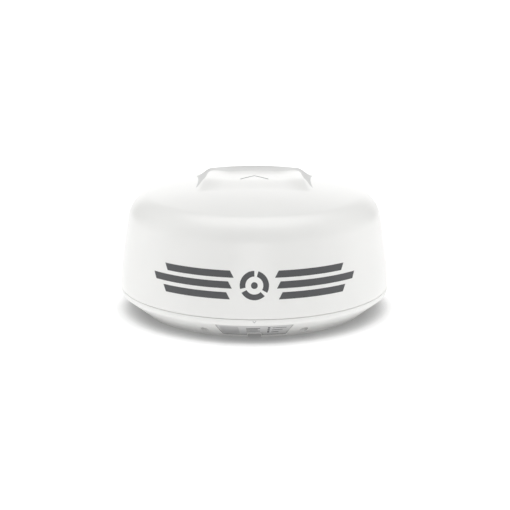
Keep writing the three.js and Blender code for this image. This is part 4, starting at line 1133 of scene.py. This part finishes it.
class RADAR_OT_drive(bpy.types.Operator):
    """Make the belt drive: motor, bracket, pulleys, idler and belt"""
    bl_idname = "radar_dome.make_drive"
    bl_label = "Make Belt Drive"

    def execute(self, context):
        drive = context.scene.radar_drive
        metal, steel = finish("cast_aluminium"), finish("turned_stainless")
        sheet, rubber = finish("rolled_aluminium"), finish("cellular_rubber")
        thick = drive.belt_thickness / MM
        outside = extruded("drive_belt_finished", belt_loop(0.5 + thick), BELT_LOW_Z, BELT_HIGH_Z, rubber)
        inside = extruded("inside", belt_loop(0.5), BELT_LOW_Z - 1, BELT_HIGH_Z + 1, rubber)
        show(combined(outside, [inside], "DIFFERENCE"), "base", "seal_rubber", "drive_belt")
        show(softened("motor_bracket", sheet, 0.5), "base", "cast_aluminium", "motor_bracket")
        can = softened("drive_motor", finish("glass_filled_nylon"), 0.8)
        laminations = [(MOTOR[0], MOTOR[1], 26 + 2 * i) for i in range(13)]
        plate = bent_box("plate", (-21, 21), (-21, 21), (-0.5, 0.5), sheet, 4)
        stack = copies("laminations", plate, laminations, sheet)
        show(joined("drive_motor_finished", [can, stack]), "base", "black_plastic", "drive_motor")
        points = [(MOTOR[0] + 15.5 * s, MOTOR[1] + 15.5 * s, 63.3) for s in (-1, 1)]
        cap_screws("motor_screws", (2.8, 2.2, 1.6, 9, False), points, 7, "base",
                   "motor_screw_1", "motor_screw_2")
        show(rod("motor_shaft_finished", 2.6, 26, BELT_HIGH_Z + 2, steel, 0.5, 32, offset=(*MOTOR, 0)),
             "motor_rotor", "stainless_steel", "motor_shaft")
        self.make_pulleys(drive.tooth_height / MM, metal)
        axle = [(0, 59), (4, 59), (4, 69.6), (3, 70), (3, 85), (0, 85)]
        spindle = turned("axle", eased(axle, 0.4, 2, closed=False), steel, 40, (*IDLER, 0))
        nut = placed(extruded("nut", round_outline(6.5, count=6), 63.3, 67, steel), (*IDLER, 0))
        show(joined("idler_axle_finished", [spindle, nut]), "base", "stainless_steel", "idler_axle")
        wheel = [(3.2, 70.9), (4, 70.4), (13, 70.4), (13, 71.3), (10, 71.6), (10, 82.4), (13, 82.7),
                 (13, 83.6), (4, 83.6), (3.2, 83.1)]
        show(turned("idler_pulley_finished", eased(wheel, 0.3, 2), finish("turned_acetal"), 72, (*IDLER, 0)),
             "idler", "white_acetal", "idler_pulley")
        return {"FINISHED"}

    def make_pulleys(self, tooth, metal):
        low, high = BELT_LOW_Z - 0.5, BELT_HIGH_Z + 0.5
        for name, teeth, tip, centre in (("main_pulley", MAIN_TEETH, MAIN_TIP, (0, 0)),
                                         ("motor_pulley", MOTOR_TEETH, MOTOR_TIP, MOTOR)):
            root = tip - tooth
            wide = 0.42 * 2 * math.pi * root / teeth / 2
            shape = [(-0.6, -wide * 1.3), (tooth, -wide * 0.75), (tooth, wide * 0.75), (-0.6, wide * 1.3)]
            part = extruded("tooth", eased(shape, 0.25, 2), low, high, metal)
            steps = [2 * math.pi * (i + 0.28) / teeth for i in range(teeth)]
            points = [(centre[0] + root * math.cos(a), centre[1] + root * math.sin(a), 0) for a in steps]
            middle = (centre[0] * MM, centre[1] * MM, 0)
            rim_teeth = copies("teeth", part, points, metal, facing_out=1.0, centre=middle)
            if name == "main_pulley":
                wheel = [(tip - 6, low), (root, low), (root, high), (tip - 6, high), (tip - 6, 78.3),
                         (12.3, 78.3), (12.3, 74.3), (tip - 6, 74.3)]
                core = turned("core", eased(wheel, 0.4, 2), metal, 160)
                holes = [rod("hole", 8.5, 70, 90, metal, 0.1, offset=(*from_aft(43, 60 * i), 0))
                         for i in range(6)]
                combined(core, holes, "DIFFERENCE")
                body = "antenna"
            else:
                rim = tip + 1.6
                wheel = [(2.9, 69.4), (rim, 69.4), (rim, 70.9), (9, 71.2), (root, low), (root, high),
                         (9, 82.8), (rim, 83.1), (rim, 84.6), (2.9, 84.6)]
                core = turned("core", eased(wheel, 0.25, 2), metal, 96, (*MOTOR, 0))
                body = "motor_rotor"
            show(joined(name + "_finished", [core, rim_teeth]), body, "cast_aluminium", name)


def belt_loop(extra):
    """The loop of a tight belt round the three pulleys, moved out by extra."""
    rollers = [((0, 0), MAIN_TIP), (MOTOR, MOTOR_TIP), (IDLER, 10)]
    points = []
    for i in range(240):
        a = 2 * math.pi * i / 240
        c, s = math.cos(a), math.sin(a)
        (x, y), radius = max(rollers, key=lambda r: r[0][0] * c + r[0][1] * s + r[1])
        points.append((x + (radius + extra) * c, y + (radius + extra) * s))
    return points


class RADAR_OT_array(bpy.types.Operator):
    """Make the turning array: hub, bracket, reflector, patch board, end caps and weight"""
    bl_idname = "radar_dome.make_array"
    bl_label = "Make Array"

    def execute(self, context):
        array = context.scene.radar_array
        metal, sheet, steel = finish("cast_aluminium"), finish("rolled_aluminium"), finish("turned_stainless")
        show(softened("antenna_hub", metal, 0.5), "antenna", "cast_aluminium", "antenna_hub")
        for node in ("array_bracket", "array_reflector"):
            show(softened(node, sheet, 0.35), "antenna", "cast_aluminium", node)
        for node in ("array_end_cap_left", "array_end_cap_right"):
            show(softened(node, finish("glass_filled_nylon"), 0.8), "antenna", "black_plastic", node)
        show(softened("balance_weight", steel, 1), "antenna", "stainless_steel", "balance_weight")
        points = [(x, 0, 100.1) for x in (-26, 26)]
        cap_screws("array_screws", (3.8, 4, 2, 9, False), points, 5, "antenna",
                   "array_screw_1", "array_screw_2")
        show(ring("index_magnet_finished", 3, 0.6, 71.2, 74, finish("nickel_plate"), 0.3, 32,
                  offset=(*from_aft(50, 210), 0)), "antenna", "magnet_steel", "index_magnet")
        board = softened("array_board", finish("fibreglass_board"), 0.15)
        low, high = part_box("array_board")
        side = array.patch_size / MM
        face = high.y / MM
        square = box_outline(-side / 2, side / 2, -side / 2, side / 2)
        upright = Matrix.Rotation(math.radians(-90), 4, "X")
        patch = placed(extruded("patch", eased(square, 1, 2), -0.3, 0.06), turn=upright)
        tin = finish("solder_tin")
        middle = (low.z + high.z) / 2 / MM
        xs = [(column - (array.patch_columns - 1) / 2) * 15 for column in range(array.patch_columns)]
        zs = [middle + (row - (array.patch_rows - 1) / 2) * 15.5 for row in range(array.patch_rows)]
        patches = copies("patches", patch, [(x, face, z) for x in xs for z in zs], tin)
        feed_line = placed(bent_box("feed", (-0.7, 0.7), (-31, 31), (-0.3, 0.05), tin), turn=upright)
        feeds = copies("feeds", feed_line, [(x, face, middle) for x in xs], tin)
        panel = joined("array_board_finished", [board, patches, feeds])
        show(panel, "antenna", "circuit_board", "array_board")
        return {"FINISHED"}


class RADAR_OT_electronics(bpy.types.Operator):
    """Make the circuit boards with their parts, the shield can, the transmitter and the sensor"""
    bl_idname = "radar_dome.make_electronics"
    bl_label = "Make Electronics"

    def execute(self, context):
        nylon, tin = finish("glass_filled_nylon"), finish("solder_tin")
        top = 15.6
        chips = [(x, y, top) for x, y in (
            (-170, 60), (-150, 66), (-128, 62), (-104, 66), (-80, 60), (-140, -30))]
        chip = bent_box("chip", (-5, 5), (-5, 5), (-0.2, 1.4), nylon, 0.6)
        legs = [(-116 + 2.2 * i, 78, top) for i in range(14)] + [(-72, -12 + 3 * i, top) for i in range(16)]
        leg = bent_box("resistor", (-0.6, 0.6), (-1.1, 1.1), (-0.2, 0.6), tin, 0.2)
        plug = bent_box("plug", (-4, 4), (-5, 5), (-0.2, 7), finish("turned_acetal"), 0.8)
        show(joined("main_board_finished", [
            softened("main_board", finish("fibreglass_board"), 0.2),
            copies("chips", chip, chips, nylon),
            copies("resistors", leg, legs, tin),
            copies("plugs", plug, [(-74, -30, top)], finish("turned_acetal")),
        ]), "base", "circuit_board", "main_board")
        show(softened("rf_shield", finish("rolled_aluminium"), 0.6), "base", "stainless_steel", "rf_shield")
        can = rod("capacitor", 5, -0.2, 14, finish("rolled_aluminium"), 0.8, 32)
        show(joined("power_board_finished", [
            softened("power_board", finish("fibreglass_board"), 0.2),
            copies("capacitors", can, [(132, -84, top), (145, -72, top), (132, -60, top), (145, -50, top)],
                   finish("rolled_aluminium")),
        ]), "base", "circuit_board", "power_board")
        for node, made, width, slot in (
                ("transmitter_module", "cast_aluminium", 0.5, "cast_aluminium"),
                ("index_sensor_bracket", "rolled_aluminium", 0.4, "cast_aluminium"),
                ("index_sensor", "glass_filled_nylon", 0.6, "black_plastic")):
            show(softened(node, finish(made), width), "base", slot, node)
        return {"FINISHED"}


LEADS = {
    "network_lead": (2, "base", "black_plastic", [
        (26, -45.7, 19), (26, -41, 19), (10, -34, 14.5), (-14, -34, 14), (-40, -38, 16), (-60, -36, 19),
        (-70, -32, 19.5), (-74, -30, 18)]),
    "power_lead": (2, "base", "seal_rubber", [
        (-26, -45.7, 19), (-26, -41, 19.5), (-12, -36, 25), (12, -37, 27), (40, -41, 26), (60, -50, 22),
        (71, -56, 18.8)]),
    "motor_lead": (1.8, "base", "seal_rubber", [
        (98, 77.5, 30), (98, 84, 29.5), (84, 96, 18), (50, 98, 10), (0, 92, 9), (-40, 86, 12), (-58, 76, 17),
        (-66, 70, 18.2)]),
    "feed_coax": (1.6, "base", "copper_coax", [
        (-18.2, 0, 9.5), (-32, 0, 9.5), (-48, 1, 13), (-58, 3, 19), (-70, 7, 22), (-82.8, 9, 22)]),
    "array_coax": (2, "antenna", "copper_coax", [
        (0, 0, 61), (0, 0, 88), (0, 0, 106), (0, 1.5, 122), (0, 8, 134), (0, 17, 138), (0, 24, 138)]),
}


class RADAR_OT_leads(bpy.types.Operator):
    """Make the leads inside the dome, each along its own route"""
    bl_idname = "radar_dome.make_leads"
    bl_label = "Make Leads"

    def execute(self, context):
        jackets = {"black_plastic": "glass_filled_nylon", "seal_rubber": "cellular_rubber",
                   "copper_coax": "drawn_copper"}
        for name, (radius, body, slot, route) in LEADS.items():
            show(lead(name + "_finished", route, radius, finish(jackets[slot])), body, slot, name)
        return {"FINISHED"}


class RADAR_OT_stage(bpy.types.Operator):
    """Make the pale floor, the soft studio light and the camera"""
    bl_idname = "radar_dome.make_stage"
    bl_label = "Make Stage"

    def execute(self, context):
        scene = context.scene
        settings = scene.radar_stage
        corners = box_outline(-FLOOR_REACH, FLOOR_REACH, -FLOOR_REACH, FLOOR_REACH)
        floor = new_object("floor", [(x, y, 0) for x, y in corners], [(0, 1, 2, 3)])
        paper = bpy.data.materials.new("studio_paper")
        paper.use_nodes = True
        shader = paper.node_tree.nodes["Principled BSDF"]
        shader.inputs["Base Color"].default_value = (*settings.floor_colour, 1)
        shader.inputs["Roughness"].default_value = 0.9
        shader.inputs["Specular IOR Level"].default_value = 0.2
        shader.inputs["Emission Strength"].default_value = 0.31
        # Painted contact shadow: ambient occlusion darkens the floor's colour and its glow towards black
        # round the foot.
        near = add_node(
            paper.node_tree, "ShaderNodeAmbientOcclusion", {"Distance": CONTACT_SHADE_REACH}, samples=16)
        shade = add_node(paper.node_tree, "ShaderNodeMapRange", {
            "Value": near.outputs["AO"], "From Min": 0.2, "From Max": 0.8, "To Min": 0.45, "To Max": 1.0})
        painted_shade_colour = add_node(paper.node_tree, "ShaderNodeMix", {
            "Factor": shade.outputs[0], 6: (0, 0, 0, 1), 7: (*settings.floor_colour, 1)}, data_type="RGBA")
        paper.node_tree.links.new(painted_shade_colour.outputs[2], shader.inputs["Base Color"])
        paper.node_tree.links.new(painted_shade_colour.outputs[2], shader.inputs["Emission Color"])
        floor.data.materials.append(paper)

        # The surroundings are white, greyer high in front and behind, with a bright card low behind
        # that the crown reflects.
        world = bpy.data.worlds.new("studio")
        scene.world = world
        world.use_nodes = True
        tree = world.node_tree
        direction = add_node(tree, "ShaderNodeTexCoord").outputs["Generated"]
        towards = add_node(
            tree, "ShaderNodeVectorMath", {0: direction, 1: (0, -0.88, 0.47)}, operation="DOT_PRODUCT")
        level = add_node(tree, "ShaderNodeMapRange", {
            "Value": towards.outputs["Value"], "From Min": 0.3, "From Max": 1.0,
            "To Min": 0.94, "To Max": 0.15})
        behind = add_node(tree, "ShaderNodeSeparateXYZ", {0: direction}).outputs["Y"]
        dimmed = add_node(tree, "ShaderNodeMapRange", {
            "Value": behind, "From Min": 0.05, "From Max": 0.8, "To Min": 1.0, "To Max": 0.25})
        card = add_node(tree, "ShaderNodeMapRange", {
            "Value": behind, "From Min": 0.84, "From Max": 0.95, "To Min": 0.0, "To Max": 1.3})
        lit = add_node(tree, "ShaderNodeMath", {0: dimmed.outputs[0], 1: card.outputs[0]}, operation="ADD")
        both = add_node(
            tree, "ShaderNodeMath", {0: level.outputs[0], 1: lit.outputs[0]}, operation="MULTIPLY")
        background = tree.nodes["Background"]
        background.inputs["Color"].default_value = (1, 1, 1, 1)
        tree.links.new(both.outputs[0], background.inputs["Strength"])

        top = bpy.data.lights.new("top_light", "SUN")
        top.energy = 1.27
        top.angle = math.radians(60)
        lamp = bpy.data.objects.new("top_light", top)
        lamp.rotation_euler = (math.radians(-8), 0, 0)
        scene.collection.objects.link(lamp)

        for name, (place, power) in SOFTBOXES.items():
            light = bpy.data.lights.new(name, "AREA")
            light.size = SOFTBOX_SIZE
            light.energy = power
            lamp = bpy.data.objects.new(name, light)
            lamp.location = place
            lamp.rotation_euler = (Vector((0, 0, 0.1)) - Vector(place)).to_track_quat("-Z", "Y").to_euler()
            scene.collection.objects.link(lamp)

        lens = bpy.data.cameras.new("camera")
        lens.lens = settings.lens
        lens.sensor_width = 36
        lens.shift_x = CAMERA_SHIFT
        lens.clip_end = 200
        camera = bpy.data.objects.new("camera", lens)
        pitch, distance = settings.camera_pitch, settings.camera_distance
        camera.location = CAMERA_AIM + distance * Vector((0, -math.cos(pitch), math.sin(pitch)))
        camera.rotation_euler = (math.pi / 2 - pitch, 0, 0)
        scene.collection.objects.link(camera)
        scene.camera = camera
        scene.view_settings.view_transform = "Standard"
        return {"FINISHED"}


class RADAR_PT_panel(bpy.types.Panel):
    bl_idname = "RADAR_PT_panel"
    bl_label = "Radar Dome Antenna"
    bl_space_type = "VIEW_3D"
    bl_region_type = "UI"
    bl_category = "Radar Dome"

    def draw(self, context):
        for name, group in SETTINGS.items():
            box = self.layout.box()
            box.label(text=name.replace("radar_", "").title())
            for field in group.__annotations__:
                box.prop(getattr(context.scene, name), field)
        for operator in OPERATORS:
            self.layout.operator(operator.bl_idname)


SETTINGS = {"radar_cover": CoverSettings, "radar_base": BaseSettings, "radar_marks": MarkSettings,
            "radar_drive": DriveSettings, "radar_array": ArraySettings, "radar_stage": StageSettings}
OPERATORS = (
    RADAR_OT_stage, RADAR_OT_cover, RADAR_OT_marks, RADAR_OT_base, RADAR_OT_fittings,
    RADAR_OT_pedestal, RADAR_OT_drive, RADAR_OT_array, RADAR_OT_electronics, RADAR_OT_leads)


def register():
    for kind in (*SETTINGS.values(), *OPERATORS, RADAR_PT_panel):
        bpy.utils.register_class(kind)
    for name, group in SETTINGS.items():
        setattr(bpy.types.Scene, name, PointerProperty(type=group))


def unregister():
    for name in SETTINGS:
        delattr(bpy.types.Scene, name)
    for kind in (RADAR_PT_panel, *reversed(OPERATORS), *reversed(list(SETTINGS.values()))):
        bpy.utils.unregister_class(kind)


def main():
    register()
    for operator in OPERATORS:
        group, call = operator.bl_idname.split(".")
        getattr(getattr(bpy.ops, group), call)()


if __name__ == "__main__":
    main()
